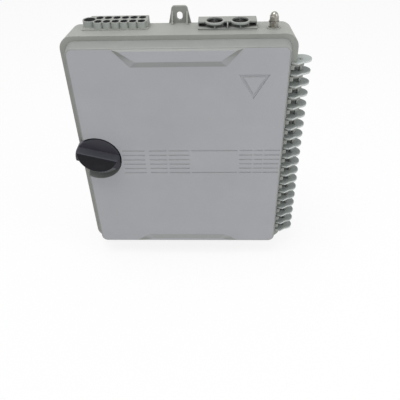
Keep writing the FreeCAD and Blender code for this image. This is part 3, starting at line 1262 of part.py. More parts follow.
def check_and_write(pieces):
    """Stop on any failed object, then write each piece to its own file."""
    for item in doc.Objects:
        if {"Invalid", "Error"} & set(item.State):
            raise ValueError("%s failed: %s" % (item.Name, item.State))
    for piece in pieces:
        if piece.Shape.isNull() or not piece.Shape.isValid():
            raise ValueError("%s has no sound shape" % piece.Label)
    os.makedirs("parts", exist_ok=True)
    for piece in pieces:
        piece.Shape.exportStep("parts/%s.step" % piece.Label)
        print("%s: %d solids, %.1f mm3" % (piece.Label, len(piece.Shape.Solids), piece.Shape.Volume))


posts = post_rows()
check_and_write([
    make_base_shell(),
    make_base_posts(),
    make_hinge_comb(),
    make_main_port_block(),
    make_drop_port_block(),
    make_drop_port_plugs(),
    make_end_port_plug(),
    make_earth_stud(),
    make_earth_washers(),
    make_earth_nuts(),
    make_earth_dome_nut(),
    make_cover(),
    make_cover_knuckles(),
    make_cover_seal(),
    make_hinge_rod(),
    make_latch_knob(),
    make_latch_seal(),
    make_latch_cam(),
    make_latch_screw(),
    make_splice_tray(),
    make_splice_combs(),
    make_tray_lid(),
    make_screws("tray_screws", TRAY_FLOOR + " + tray_wall", posts[0][2]),
    make_adapter_bracket(),
    make_fibre_adapters(),
    make_adapter_dust_caps(),
    make_screws("bracket_screws", TRAY_FLOOR + " + bracket_sheet", posts[1][2]),
    make_cable_clamps(),
    make_screws("clamp_screws", "back_wall + clamp_stand + clamp_sheet", posts[2][2]),
])
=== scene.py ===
import logging
import math
from dataclasses import dataclass
from enum import Enum
from typing import Any, Dict, List, Optional, Sequence, Tuple

import bmesh
import bpy
import numpy as np
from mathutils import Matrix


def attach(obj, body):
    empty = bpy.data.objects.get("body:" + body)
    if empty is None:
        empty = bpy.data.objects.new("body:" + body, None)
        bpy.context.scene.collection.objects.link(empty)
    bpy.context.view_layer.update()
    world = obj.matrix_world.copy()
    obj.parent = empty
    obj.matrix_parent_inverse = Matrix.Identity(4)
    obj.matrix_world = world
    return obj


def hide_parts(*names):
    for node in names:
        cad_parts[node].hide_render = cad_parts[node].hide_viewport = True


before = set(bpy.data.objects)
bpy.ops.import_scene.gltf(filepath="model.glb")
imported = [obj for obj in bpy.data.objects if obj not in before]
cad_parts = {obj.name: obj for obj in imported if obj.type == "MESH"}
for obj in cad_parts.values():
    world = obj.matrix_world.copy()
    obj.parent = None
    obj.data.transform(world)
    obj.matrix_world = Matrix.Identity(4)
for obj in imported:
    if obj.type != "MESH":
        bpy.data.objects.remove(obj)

LOG = logging.getLogger("fibre_box")
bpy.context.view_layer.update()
MM = 0.001

Colour = Tuple[float, float, float, float]
Point = Tuple[float, float, float]

WHITE: Colour = (1.0, 1.0, 1.0, 1.0)
# The sockets of a Mix node that mixes colours.
MIX_FACTOR, MIX_FIRST, MIX_SECOND, MIX_RESULT = 0, 6, 7, 2
# How far the normal turns where an edge's wear starts and where it is full, as cosines.
EDGE_START, EDGE_FULL = 0.995, 0.80


class Body(Enum):
    """The rigid bodies that a piece can ride on."""

    BASE = "base"
    COVER = "cover"
    LATCH = "latch"


class Axis(Enum):
    """The direction in which a turned piece points, as an index of its coordinate and a sign."""

    UP = (2, 1.0)
    FRONT = (1, -1.0)
    BACK = (1, 1.0)


def shade(red: int, green: int, blue: int) -> Colour:
    """A display colour as the linear colour that a shader takes.

    Args:
        red: red, from 0 to 255.
        green: green, from 0 to 255.
        blue: blue, from 0 to 255.

    Returns:
        The linear colour with full alpha.
    """
    parts = [value / 255 for value in (red, green, blue)]
    linear = [part / 12.92 if part <= 0.04045 else ((part + 0.055) / 1.055) ** 2.4 for part in parts]
    return (linear[0], linear[1], linear[2], 1.0)


# Painted shade in hollows: how far off the walls of a hollow may be, how closed it is where the painted shade
# starts and is full, and its tone.
HOLLOW_REACH = 30 * MM
HOLLOW_START, HOLLOW_FULL = 0.30, 0.60
DEEP_SHADE = shade(30, 31, 30)


class Signal:
    """A socket that carries a number, so that sums on it become Math nodes."""

    def __init__(self, sheet: "NodeSheet", socket: Any) -> None:
        """Wrap a socket of the sheet's node tree."""
        self.sheet = sheet
        self.socket = socket

    def _math(self, operation: str, first: Any, second: Any) -> "Signal":
        """A Math node on two values, of which at least one is a signal."""
        node = self.sheet.make("ShaderNodeMath", {"operation": operation}, {0: first, 1: second})
        return Signal(self.sheet, node.outputs[0])

    def __add__(self, other: Any) -> "Signal":
        """This value plus another."""
        return self._math("ADD", self, other)

    def __radd__(self, other: Any) -> "Signal":
        """A number plus this value."""
        return self._math("ADD", other, self)

    def __sub__(self, other: Any) -> "Signal":
        """This value less another."""
        return self._math("SUBTRACT", self, other)

    def __rsub__(self, other: Any) -> "Signal":
        """A number less this value."""
        return self._math("SUBTRACT", other, self)

    def __mul__(self, other: Any) -> "Signal":
        """This value times another."""
        return self._math("MULTIPLY", self, other)

    def __rmul__(self, other: Any) -> "Signal":
        """A number times this value."""
        return self._math("MULTIPLY", other, self)


class NodeSheet:
    """A node tree that starts empty but for its output."""

    def __init__(self, owner: Any, output: str) -> None:
        """Clear the tree of a material or a world.

        Args:
            owner: the material or world.
            output: Blender's name of its output node type.
        """
        owner.use_nodes = True
        self.tree = owner.node_tree
        self.tree.nodes.clear()
        self.output = self.make(output)

    def make(self, kind: str, settings: Optional[Dict[str, Any]] = None,
             inputs: Optional[Dict[Any, Any]] = None) -> Any:
        """Add a node, set it up and feed its sockets.

        Args:
            kind: Blender's name of the node type.
            settings: the node's own settings, set first.
            inputs: a value, a socket or a signal for each socket, by name or number.

        Returns:
            The new node.
        """
        node = self.tree.nodes.new(kind)
        for key, value in (settings or {}).items():
            setattr(node, key, value)
        for key, value in (inputs or {}).items():
            socket = value.socket if isinstance(value, Signal) else value
            if isinstance(socket, bpy.types.NodeSocket):
                self.tree.links.new(socket, node.inputs[key])
            else:
                node.inputs[key].default_value = socket
        return node

    def backdrop(self, lit: str, colour: Colour, strength: Optional[float], share: float) -> None:
        """Show white to the camera, metal and clear sheet, and a plain shader to the light on the object.

        Args:
            lit: Blender's name of the node type that the light on the object meets.
            colour: that node's colour.
            strength: that node's strength, or None where it has none.
            share: how much of the white shows.
        """
        path = self.make("ShaderNodeLightPath")
        camera, glossy, clear = [Signal(self, path.outputs[name]) for name in
                                 ("Is Camera Ray", "Is Glossy Ray", "Is Transmission Ray")]
        inputs: Dict[Any, Any] = {"Color": colour}
        if strength is not None:
            inputs["Strength"] = strength
        plain = self.make(lit, {}, inputs)
        white = self.make("ShaderNodeEmission", {}, {"Color": WHITE, "Strength": 1.0})
        mixed = self.make("ShaderNodeMixShader", {}, {
            0: (camera + glossy + clear) * share, 1: plain.outputs[0], 2: white.outputs[0]})
        self.tree.links.new(mixed.outputs[0], self.output.inputs["Surface"])


class FinishSheet(NodeSheet):
    """The node tree of one material, with the few kinds of node that the finishes share."""

    def __init__(self, name: str) -> None:
        """Start an empty material of that name."""
        self.material = bpy.data.materials.new(name)
        super().__init__(self.material, "ShaderNodeOutputMaterial")

    def place(self, stretch: Point = (1.0, 1.0, 1.0)) -> Any:
        """The surface's place in the object's own frame, stretched along each axis."""
        coords = self.make("ShaderNodeTexCoord")
        mapping = self.make("ShaderNodeMapping", {}, {"Vector": coords.outputs["Object"], "Scale": stretch})
        return mapping.outputs["Vector"]

    def noise(self, scale: float, detail: float = 2.0, vector: Any = None, rough: float = 0.5) -> Signal:
        """Smooth noise from 0 to 1, with that many waves to the metre."""
        node = self.make("ShaderNodeTexNoise", {}, {
            "Vector": self.place() if vector is None else vector, "Scale": scale, "Detail": detail,
            "Roughness": rough})
        return Signal(self, node.outputs["Fac"])

    def level(self, signal: Signal, low: float, high: float, out_low: float, out_high: float) -> Signal:
        """A signal's range stretched to another range and held there."""
        node = self.make("ShaderNodeMapRange", {"clamp": True}, {
            "Value": signal, "From Min": low, "From Max": high, "To Min": out_low, "To Max": out_high})
        return Signal(self, node.outputs["Result"])

    def mix(self, factor: Any, first: Any, second: Any, blend: str = "MIX") -> Any:
        """A mix of two colours."""
        node = self.make("ShaderNodeMix", {"data_type": "RGBA", "blend_type": blend}, {
            MIX_FACTOR: factor, MIX_FIRST: first, MIX_SECOND: second})
        return node.outputs[MIX_RESULT]

    def soft_edges(self, radius: float) -> Tuple[Any, Signal]:
        """The normal with rounded edges, and how far a place lies on such an edge.

        Args:
            radius: the edge radius in metres.

        Returns:
            The softened normal and the edge mask.
        """
        bevel = self.make("ShaderNodeBevel", {"samples": 6}, {"Radius": radius})
        geometry = self.make("ShaderNodeNewGeometry")
        dot = self.make("ShaderNodeVectorMath", {"operation": "DOT_PRODUCT"}, {
            0: bevel.outputs["Normal"], 1: geometry.outputs["Normal"]})
        edge = self.level(Signal(self, dot.outputs["Value"]), EDGE_START, EDGE_FULL, 0.0, 1.0)
        return bevel.outputs["Normal"], edge

    def facing(self, low: float, high: float) -> Signal:
        """How squarely a place faces the front: 0 at the low share of its normal and 1 at the high one."""
        coords = self.make("ShaderNodeTexCoord")
        parts = self.make("ShaderNodeSeparateXYZ", {}, {0: coords.outputs["Normal"]})
        return self.level(0.0 - Signal(self, parts.outputs["Y"]), low, high, 0.0, 1.0)

    def in_front(self, level: float, blur: float = 0.0004) -> Signal:
        """How far a place lies in front of a level, in metres from the wall: 0 behind it and 1 before it."""
        parts = self.make("ShaderNodeSeparateXYZ", {}, {0: self.place()})
        return self.level(0.0 - Signal(self, parts.outputs["Y"]), level - blur, level + blur, 0.0, 1.0)

    def hollow(self, reach: float) -> Signal:
        """How deep a place lies in a hollow: 0 in the open and 1 where all is closed within that reach."""
        node = self.make("ShaderNodeAmbientOcclusion", {"samples": 8}, {"Distance": reach})
        return 1.0 - Signal(self, node.outputs["AO"])

    def bump(self, height: Signal, depth: float, normal: Any = None) -> Any:
        """A normal that a height field tilts; depth is in metres."""
        inputs: Dict[Any, Any] = {"Height": height, "Distance": depth}
        if normal is not None:
            inputs["Normal"] = normal
        return self.make("ShaderNodeBump", {}, inputs).outputs["Normal"]

    def finish(self, **inputs: Any) -> bpy.types.Material:
        """Close the tree with a Principled shader that takes these sockets."""
        named = {key.replace("_", " ").title().replace("Ior", "IOR"): value for key, value in inputs.items()}
        shader = self.make("ShaderNodeBsdfPrincipled", {}, named)
        self.tree.links.new(shader.outputs["BSDF"], self.output.inputs["Surface"])
        return self.material


@dataclass(frozen=True)
class Moulding:
    """Moulded plastic: a fine spark-eroded grain, slow changes of tone and edges rubbed a little paler.

    The faces that look to the front, or only those in front of a level, can take a tone of painted light or
    shade that stands for how the light falls on them, and deep hollows can take painted shade. A bright
    rubbed tone makes the paler edges a painted highlight as well as wear. Waves are counted to the metre.
    """

    name: str
    colour: Colour
    rubbed: Colour
    dusty: Colour
    roughness: float = 0.52
    grain: float = 0.00005
    grain_waves: float = 1900.0
    speck_waves: float = 4200.0
    cloud_waves: float = 14.0
    flow_waves: float = 5.0
    patch_waves: float = 60.0
    edge: float = 0.0006
    tone: float = 0.05
    dust: float = 0.10
    sheen: float = 0.25
    ior: float = 1.5
    # Tone of painted light or shade for faces that look to the front, and the level and turn that bound it.
    front: Optional[Colour] = None
    front_level: Optional[float] = None
    front_turn: Tuple[float, float] = (0.75, 0.98)
    # Share of painted shade in the deepest hollows.
    hollow_painted_shade: float = 0.0

    def ground(self, sheet: FinishSheet) -> Any:
        """The plain colour, or its mix with the painted light or shade tone of front faces, darkened by
        painted shade in hollows.
        """
        ground: Any = self.colour
        # Painted light or shade: faces that look to the front take the front tone.
        if self.front is not None:
            factor = sheet.facing(*self.front_turn)
            if self.front_level is not None:
                factor = factor * sheet.in_front(self.front_level)
            ground = sheet.mix(factor, self.colour, self.front)
        # Painted shade: ambient occlusion darkens hollows toward DEEP_SHADE.
        if self.hollow_painted_shade > 0.0:
            depth = sheet.level(sheet.hollow(HOLLOW_REACH), HOLLOW_START, HOLLOW_FULL, 0.0, self.hollow_painted_shade)
            ground = sheet.mix(depth, ground, DEEP_SHADE)
        return ground

    def material(self) -> bpy.types.Material:
        """Build the finish.

        Returns:
            The material.
        """
        sheet = FinishSheet(self.name)
        normal, edge = sheet.soft_edges(self.edge)
        slow = sheet.noise(self.cloud_waves, 4.0)
        flow = sheet.noise(self.flow_waves, 2.0, sheet.place((1.0, 1.0, 5.0)))
        fine = sheet.noise(self.grain_waves, 2.0)
        patch = sheet.noise(self.patch_waves, 5.0, rough=0.65)
        tone = sheet.level(slow * 0.6 + flow * 0.4, 0.32, 0.68, 1.0 - self.tone, 1.0 + self.tone * 0.6)
        grey = sheet.make("ShaderNodeCombineColor", {}, {"Red": tone, "Green": tone, "Blue": tone})
        toned = sheet.mix(1.0, self.ground(sheet), grey.outputs["Color"], "MULTIPLY")
        speck = sheet.level(fine, 0.35, 0.75, 0.0, 0.10)
        specked = sheet.mix(speck, toned, self.rubbed)
        dusted = sheet.mix(sheet.level(patch, 0.50, 0.80, 0.0, self.dust), specked, self.dusty)
        # Edges paler: wear, and a painted highlight where the rubbed tone is bright, as on the cover.
        worn = sheet.mix(edge * sheet.level(patch, 0.30, 0.62, 0.12, 0.55), dusted, self.rubbed)
        rough = sheet.level(patch * 0.7 + slow * 0.3, 0.30, 0.72,
                            self.roughness - 0.06, self.roughness + 0.10)
        grain = fine * 0.7 + sheet.noise(self.speck_waves, 1.0) * 0.3
        return sheet.finish(
            base_color=worn, roughness=rough, normal=sheet.bump(grain, self.grain, normal),
            ior=self.ior, specular_ior_level=self.sheen)


@dataclass(frozen=True)
class Rubber:
    """Moulded rubber: dark, matt, with a faint grey bloom and tiny pits."""

    name: str
    colour: Colour
    bloom: Colour
    roughness: float = 0.72
    sheen: float = 0.15
    edge: float = 0.0004
    pit: float = 0.00005
    pit_waves: float = 2600.0
    bloom_waves: float = 130.0

    def material(self) -> bpy.types.Material:
        """Build the finish.

        Returns:
            The material.
        """
        sheet = FinishSheet(self.name)
        normal, edge = sheet.soft_edges(self.edge)
        cloud = sheet.noise(self.bloom_waves, 4.0, rough=0.6)
        pits = sheet.noise(self.pit_waves, 2.0)
        veil = sheet.level(cloud, 0.40, 0.75, 0.0, 0.45)
        colour = sheet.mix(veil + edge * 0.2, self.colour, self.bloom)
        rough = sheet.level(cloud, 0.3, 0.7, self.roughness - 0.08, self.roughness + 0.1)
        return sheet.finish(
            base_color=colour, roughness=rough, normal=sheet.bump(pits, self.pit, normal),
            specular_ior_level=self.sheen)


@dataclass(frozen=True)
class Metal:
    """Plated or bare metal: fine turning marks, dull patches and paler edges."""

    name: str
    colour: Colour
    tarnish: Colour
    roughness: float = 0.30
    stretch: Point = (1.0, 1.0, 14.0)
    tarnished: float = 0.35
    edge: float = 0.0003
    mark: float = 0.00002
    mark_waves: float = 420.0
    tarnish_waves: float = 220.0

    def material(self) -> bpy.types.Material:
        """Build the finish.

        Returns:
            The material.
        """
        sheet = FinishSheet(self.name)
        normal, edge = sheet.soft_edges(self.edge)
        marks = sheet.noise(self.mark_waves, 2.0, sheet.place(self.stretch))
        cloud = sheet.noise(self.tarnish_waves, 4.0, rough=0.6)
        dull = sheet.level(cloud, 0.42, 0.72, 0.0, self.tarnished)
        colour = sheet.mix(dull, self.colour, self.tarnish)
        bright = sheet.mix(edge * 0.5, colour, self.colour)
        rough = sheet.level(marks * 0.6 + cloud * 0.4, 0.3, 0.7,
                            self.roughness - 0.08, self.roughness + 0.12)
        return sheet.finish(
            base_color=bright, metallic=1.0, roughness=rough, normal=sheet.bump(marks, self.mark, normal))


@dataclass(frozen=True)
class PaintedSheet:
    """Powder-coated sheet metal: an even colour with an orange-peel surface."""

    name: str
    colour: Colour
    worn: Colour
    roughness: float = 0.38
    edge: float = 0.0004
    peel: float = 0.00005
    peel_waves: float = 900.0
    cloud_waves: float = 70.0

    def material(self) -> bpy.types.Material:
        """Build the finish.

        Returns:
            The material.
        """
        sheet = FinishSheet(self.name)
        normal, edge = sheet.soft_edges(self.edge)
        peel = sheet.noise(self.peel_waves, 2.0)
        cloud = sheet.noise(self.cloud_waves, 4.0)
        colour = sheet.mix(sheet.level(cloud, 0.3, 0.7, 0.0, 0.18), self.colour, self.worn)
        rubbed = sheet.mix(edge * sheet.level(cloud, 0.45, 0.7, 0.0, 0.7), colour, self.worn)
        rough = sheet.level(cloud, 0.3, 0.7, self.roughness - 0.06, self.roughness + 0.08)
        return sheet.finish(base_color=rubbed, roughness=rough, normal=sheet.bump(peel, self.peel, normal))


@dataclass(frozen=True)
class ClearSheet:
    """Clear plastic sheet: mostly see-through, with faint scuffs that catch the light."""

    name: str
    colour: Colour
    alpha: float = 0.22
    wave: float = 0.0001
    scuff_waves: float = 500.0
    cloud_waves: float = 40.0

    def material(self) -> bpy.types.Material:
        """Build the finish.

        Returns:
            The material.
        """
        sheet = FinishSheet(self.name)
        scuff = sheet.noise(self.scuff_waves, 3.0, sheet.place((1.0, 1.0, 8.0)))
        cloud = sheet.noise(self.cloud_waves, 3.0)
        veil = sheet.level(scuff * 0.5 + cloud * 0.5, 0.4, 0.7, self.alpha - 0.06, self.alpha + 0.10)
        rough = sheet.level(scuff, 0.35, 0.7, 0.06, 0.22)
        return sheet.finish(
            base_color=self.colour, alpha=veil, roughness=rough, normal=sheet.bump(cloud, self.wave))


class Finishes:
    """Every finish of the box, built once."""

    def __init__(self) -> None:
        """Build the materials."""
        pale = shade(190, 192, 190)
        dust = shade(176, 177, 171)
        # The base's front tone, on faces that look to the front ahead of 45 mm, is painted light that
        # brightens its front rim.
        self.base = Moulding("base_grey_moulding", shade(142, 144, 139), pale, dust,
                             front=shade(150, 152, 147), front_level=0.045).material()
        # The port blocks' lighter tone on faces that look to the front is painted light.
        port, port_front_painted_light = shade(138, 140, 135), shade(158, 163, 159)
        self.ports = Moulding("port_grey_moulding", port, pale, dust, front=port_front_painted_light,
                              front_turn=(0.3, 0.9)).material()
        # The main port block also takes painted shade in its hollows, which darkens its bores.
        self.ports_with_painted_hollow_shade = Moulding("open_port_grey_moulding_painted_hollow_shade", port, pale, dust, front=port_front_painted_light,
                                   front_turn=(0.3, 0.9), hollow_painted_shade=0.9).material()
        # The comb's lighter tone on fin fronts ahead of 42 mm is a painted highlight on the fins' front
        # edges.
        self.comb = Moulding("comb_grey_moulding", shade(150, 157, 154), pale, dust,
                             front=shade(190, 195, 193), front_level=0.042, front_turn=(0.2, 0.6)).material()
        # The cover's front tone on faces square to the front is its plain colour; the darker tone on its
        # panel slopes and sides is painted shade, and the bright rubbed tone paints a highlight along its
        # edges besides the wear.
        self.cover = Moulding("cover_grey_moulding", shade(126, 128, 125), shade(208, 212, 212), dust,
                              roughness=0.42, sheen=0.4, front=shade(158, 159, 163),
                              front_turn=(0.94, 0.997)).material()
        # The knob's grey tone, on all but its front faces, is a painted reflection over the black plastic;
        # the near-black front tone is its plain colour.
        self.knob = Moulding("black_knob_moulding", shade(60, 60, 67), shade(88, 89, 94), shade(80, 81, 84),
                             roughness=0.40, tone=0.15, dust=0.10, sheen=0.18, front=shade(6, 7, 14),
                             front_level=0.0712).material()
        self.tray = Moulding("tray_white_moulding", shade(226, 226, 221), shade(240, 240, 238),
                             shade(206, 204, 196), roughness=0.40, sheen=0.5).material()
        self.adapter = Moulding("adapter_green_moulding", shade(46, 122, 78), shade(104, 160, 122),
                                shade(120, 140, 126), roughness=0.36, sheen=0.5).material()
        self.cap = Moulding("dust_cap_moulding", shade(222, 221, 212), shade(240, 240, 235),
                            shade(200, 198, 188), roughness=0.44, sheen=0.5).material()
        self.rubber = Rubber("black_rubber", shade(14, 15, 16), shade(42, 43, 45)).material()
        self.foam = Rubber("splice_comb_rubber", shade(58, 60, 64), shade(110, 112, 116), 0.78).material()
        self.nickel = Metal("nickel_plate", shade(152, 150, 143), shade(92, 89, 80), 0.26).material()
        self.zinc = Metal("zinc_plate", shade(196, 198, 198), shade(140, 142, 140), 0.32,
                          (1.0, 8.0, 1.0)).material()
        self.rod = Metal("dull_rod_steel", shade(158, 159, 157), shade(116, 114, 110), 0.42).material()
        self.bracket = PaintedSheet("bracket_powder_coat", shade(205, 207, 207),
                                    shade(150, 152, 152)).material()
        self.clear = ClearSheet("clear_tray_lid", shade(222, 230, 233)).material()


def skin(name: str, points: np.ndarray, closed: bool, sharp: float = 0.6) -> bpy.types.Object:
    """A mesh object from grids of points: each grid's rows and columns become quads.

    Args:
        name: the object's name.
        points: an array of grids, (copies, rows, columns, 3), in metres.
        closed: whether the last column joins the first.
        sharp: the angle in radians above which an edge stays sharp.

    Returns:
        The new object, at the origin.
    """
    copies, rows, columns = points.shape[:3]
    row = np.arange(rows - 1)[:, None]
    column = np.arange(columns if closed else columns - 1)[None, :]
    after = (column + 1) % columns
    corners = np.stack([row * columns + column, row * columns + after,
                        (row + 1) * columns + after, (row + 1) * columns + column], axis=-1).reshape(-1, 4)
    offsets = (np.arange(copies) * rows * columns)[:, None, None]
    faces = (corners[None] + offsets).reshape(-1, 4)
    mesh = bpy.data.meshes.new(name)
    mesh.from_pydata(points.reshape(-1, 3).tolist(), [], faces.tolist())
    shape = bmesh.new()
    shape.from_mesh(mesh)
    bmesh.ops.remove_doubles(shape, verts=shape.verts, dist=1e-7)
    bmesh.ops.recalc_face_normals(shape, faces=shape.faces)
    shape.to_mesh(mesh)
    shape.free()
    mesh.shade_smooth()
    mesh.set_sharp_from_angle(angle=sharp)
    piece = bpy.data.objects.new(name, mesh)
    bpy.context.scene.collection.objects.link(piece)
    return piece


def turned(radius: np.ndarray, height: np.ndarray, angle: np.ndarray, places: np.ndarray,
           axis: Axis) -> np.ndarray:
    """Turned surfaces: a point's radius and height are given over rows and angles, about each place.

    Args:
        radius: radii in metres, (rows, columns).
        height: heights along the axis in metres, (rows, columns).
        angle: the column angles in radians, (columns,).
        places: the foot point of each copy's axis, (copies, 3).
        axis: the way the axis points.

    Returns:
        The points, (copies, rows, columns, 3).
    """
    along, sign = axis.value
    first, second = [index for index in range(3) if index != along]
    points = np.zeros(radius.shape + (3,))
    points[..., first] = radius * np.cos(angle)[None, :]
    points[..., second] = radius * np.sin(angle)[None, :]
    points[..., along] = sign * height
    return places[:, None, None, :] + points[None]


def rounds(count: int) -> np.ndarray:
    """Evenly spaced angles round a full turn, without the last."""
    return np.linspace(0.0, 2.0 * math.pi, count, endpoint=False)


def spread(profile: Sequence[Tuple[float, float]], count: int) -> Tuple[np.ndarray, np.ndarray]:
    """A profile of (radius, height) pairs in millimetres, repeated at every angle."""
    pairs = np.array(profile, float) * MM
    return np.repeat(pairs[:, :1], count, axis=1), np.repeat(pairs[:, 1:], count, axis=1)


def wear(node: str, finish: bpy.types.Material) -> None:
    """Give a CAD node a finish."""
    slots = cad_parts[node].data.materials
    slots.clear()
    slots.append(finish)
    LOG.info("dressed %s in %s", node, finish.name)


def add(piece: bpy.types.Object, body: Body, finish: bpy.types.Material, slot: str, *nodes: str) -> None:
    """Let a new piece ride on a body in the place of CAD nodes, with a finish of its own."""
    piece.data.materials.append(finish)
    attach(piece, body.value)
    if nodes:
        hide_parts(*nodes)
    LOG.info("made %s for %s", piece.name, ", ".join(nodes))


@dataclass
class Housing:
    """The base with its posts, its port blocks, their plugs, the hinge comb and the hinge rod."""

    drop_columns: int = 6
    drop_first: float = -96.4
    drop_pitch: float = 10.4
    drop_rows: Tuple[float, float] = (24.1, 11.2)
    drop_radius: float = 4.37
    drop_straight: float = 0.9
    end_place: Tuple[float, float] = (-107.8, 17.0)
    end_radius: float = 7.27
    plug_top: float = 165.6
    plug_length: float = 12.0
    plug_edge: float = 0.5
    plug_foot: Tuple[float, float] = (0.6, 1.0)

    def plug_profile(self, radius: float) -> List[Tuple[float, float]]:
        """A plug's outline from its top's middle to its foot's middle.

        Args:
            radius: the plug's radius in millimetres.

        Returns:
            Pairs of radius and height above the foot: a pulling nipple, a dished ring, a round edge and a
            plain shank.
        """
        top = self.plug_length
        edge = np.linspace(0.0, math.pi / 2, 5)
        round_edge = self.plug_edge
        rim = [(radius - round_edge + round_edge * math.sin(a), top - round_edge + round_edge * math.cos(a))
               for a in edge]
        # Each step of the nipple and the dished ring: its share of the radius and its depth below the top.
        steps = ((0.0, 0.0), (0.13, 0.02), (0.20, 0.25), (0.26, 0.9), (0.55, 1.0), (0.70, 0.7), (0.78, 0.05))
        nipple = [(share * radius, top - depth) for share, depth in steps]
        taper, rise = self.plug_foot
        return nipple + rim + [(radius, rise), (radius - taper, 0.0), (0.0, 0.0)]

    def plugs(self, name: str, radius: float, straight: float, places: np.ndarray) -> bpy.types.Object:
        """Rubber plugs at these places.

        Args:
            name: the object's name.
            radius: the plugs' radius in millimetres.
            straight: half the length of an oval plug's straight sides, 0 for round plugs.
            places: the middle of each plug's foot, (copies, 3), in metres.

        Returns:
            The new object.
        """
        angle = rounds(40)
        radii, heights = spread(self.plug_profile(radius), angle.size)
        points = turned(radii, heights, angle, places, Axis.UP)
        side = np.sign(np.round(np.sin(angle), 6))
        points[..., 1] += straight / radius * radii * side[None, :]
        return skin(name, points, True)

    def build(self, finishes: Finishes) -> None:
        """Dress the CAD nodes and make the plugs.

        Args:
            finishes: the box's finishes.
        """
        for node in ("base_shell", "base_posts"):
            wear(node, finishes.base)
        wear("main_port_block", finishes.ports_with_painted_hollow_shade)
        wear("drop_port_block", finishes.ports)
        wear("hinge_comb", finishes.comb)
        wear("hinge_rod", finishes.rod)
        foot = self.plug_top - self.plug_length
        columns = self.drop_first + self.drop_pitch * np.arange(self.drop_columns)
        x, w = np.meshgrid(columns, np.array(self.drop_rows))
        places = np.stack([x.ravel(), -w.ravel(), np.full(x.size, foot)], axis=1) * MM
        drop_plugs = self.plugs("drop_plugs", self.drop_radius, self.drop_straight, places)
        add(drop_plugs, Body.BASE, finishes.rubber, "black_rubber", "drop_port_plugs")
        end = np.array([[self.end_place[0], -self.end_place[1], foot]]) * MM
        end_plug = self.plugs("end_plug", self.end_radius, 0.0, end)
        add(end_plug, Body.BASE, finishes.rubber, "black_rubber", "end_port_plug")


@dataclass
class EarthTerminal:
    """The threaded earth stud with its washers, chamfered nuts and dome nut."""

    x: float = 112.0
    w: float = 29.5
    stud_radius: float = 3.0
    thread_pitch: float = 1.0
    thread_depth: float = 0.5
    thread_steps: int = 8
    thread_gap: float = 0.02
    bore_gap: float = 0.03
    flats: float = 10.0
    chamfer_share: float = 0.97
    chamfer_slope: float = 1.75
    nut_thickness: float = 4.8
    nut_edge: float = 0.6
    nut_levels: Tuple[float, float] = (159.7, 146.0)
    stud_span: Tuple[float, float] = (144.8, 173.1)
    dome_level: float = 165.7
    dome_base: float = 5.8
    dome_edge: float = 0.5
    dome_radius: float = 4.6

    def place(self, levels: Sequence[float]) -> np.ndarray:
        """The points on the stud's axis at these heights."""
        return np.array([[self.x, -self.w, level] for level in levels]) * MM

    def hexagon(self, angle: np.ndarray) -> np.ndarray:
        """The distance from a hexagon's middle to its side at each angle, with a flat across X."""
        sector = np.mod(angle + math.pi / 6, math.pi / 3) - math.pi / 6
        return self.flats / 2 / np.cos(sector)

    def nut(self, reach: np.ndarray, angle: np.ndarray) -> np.ndarray:
        """A nut's radius: a hexagon cut back by a cone that opens with the distance from a chamfered end.

        Args:
            reach: distances from the nearest chamfered end, (rows,).
            angle: angles, (columns,).

        Returns:
            The radii, (rows, columns).
        """
        cone = self.flats / 2 * self.chamfer_share + reach * self.chamfer_slope
        return np.minimum(self.hexagon(angle)[None, :], cone[:, None])

    def thread(self) -> np.ndarray:
        """The stud: its radius follows a triangle wave of height less the turned angle."""
        angle = rounds(32)
        low, high = self.stud_span
        turns = (high - low) / self.thread_pitch
        height = np.linspace(0.0, high - low, int(turns * self.thread_steps) + 1)
        phase = np.mod(height[:, None] / self.thread_pitch - angle[None, :] / (2 * math.pi), 1.0)
        wave = np.abs(2.0 * phase - 1.0)
        radius = self.stud_radius - self.thread_gap - self.thread_depth * wave
        radius = np.vstack([np.zeros((1, angle.size)), radius, np.zeros((1, angle.size))])
        height = np.concatenate([[0.0], height, [high - low]])
        heights = np.repeat(height[:, None], angle.size, axis=1)
        return turned(radius * MM, heights * MM, angle, self.place([low]), Axis.UP)

    def nuts(self) -> np.ndarray:
        """The two nuts: an outer wall, flat ends and a plain bore."""
        angle = rounds(72)
        edge = np.linspace(0.0, self.nut_edge, 4)
        height = np.concatenate([edge, self.nut_thickness - edge[::-1]])
        wall = self.nut(np.minimum(height, self.nut_thickness - height), angle)
        bore = np.full((1, angle.size), self.stud_radius + self.bore_gap)
        radius = np.vstack([bore, wall, bore, bore])
        levels = np.concatenate([[0.0], height, [self.nut_thickness, 0.0]])
        heights = np.repeat(levels[:, None], angle.size, axis=1)
        return turned(radius * MM, heights * MM, angle, self.place(self.nut_levels), Axis.UP)

    def dome(self) -> np.ndarray:
        """The dome nut: a hexagon, chamfered below, under a half round cap."""
        angle = rounds(72)
        edge = np.linspace(0.0, self.dome_edge, 4)
        height = np.concatenate([edge, [self.dome_base - 0.6, self.dome_base - 0.3]])
        wall = self.nut(height, angle)
        arc = np.linspace(0.0, math.pi / 2, 12)
        cap = np.repeat((self.dome_radius * np.cos(arc))[:, None], angle.size, axis=1)
        levels = np.concatenate([[0.0], height, self.dome_base + self.dome_radius * np.sin(arc)])
        radius = np.vstack([np.zeros((1, angle.size)), wall, cap])
        heights = np.repeat(levels[:, None], angle.size, axis=1)
        return turned(radius * MM, heights * MM, angle, self.place([self.dome_level]), Axis.UP)

    def build(self, finishes: Finishes) -> None:
        """Make the stud and the nuts, and dress the washers.

        Args:
            finishes: the box's finishes.
        """
        for name, points, sharp, node in (("threaded_stud", self.thread(), 0.3, "earth_stud"),
                                          ("hex_nuts", self.nuts(), 0.4, "earth_nuts"),
                                          ("dome_nut", self.dome(), 0.5, "earth_dome_nut")):
            add(skin(name, points, True, sharp), Body.BASE, finishes.nickel, "nickel", node)
        wear("earth_washers", finishes.nickel)


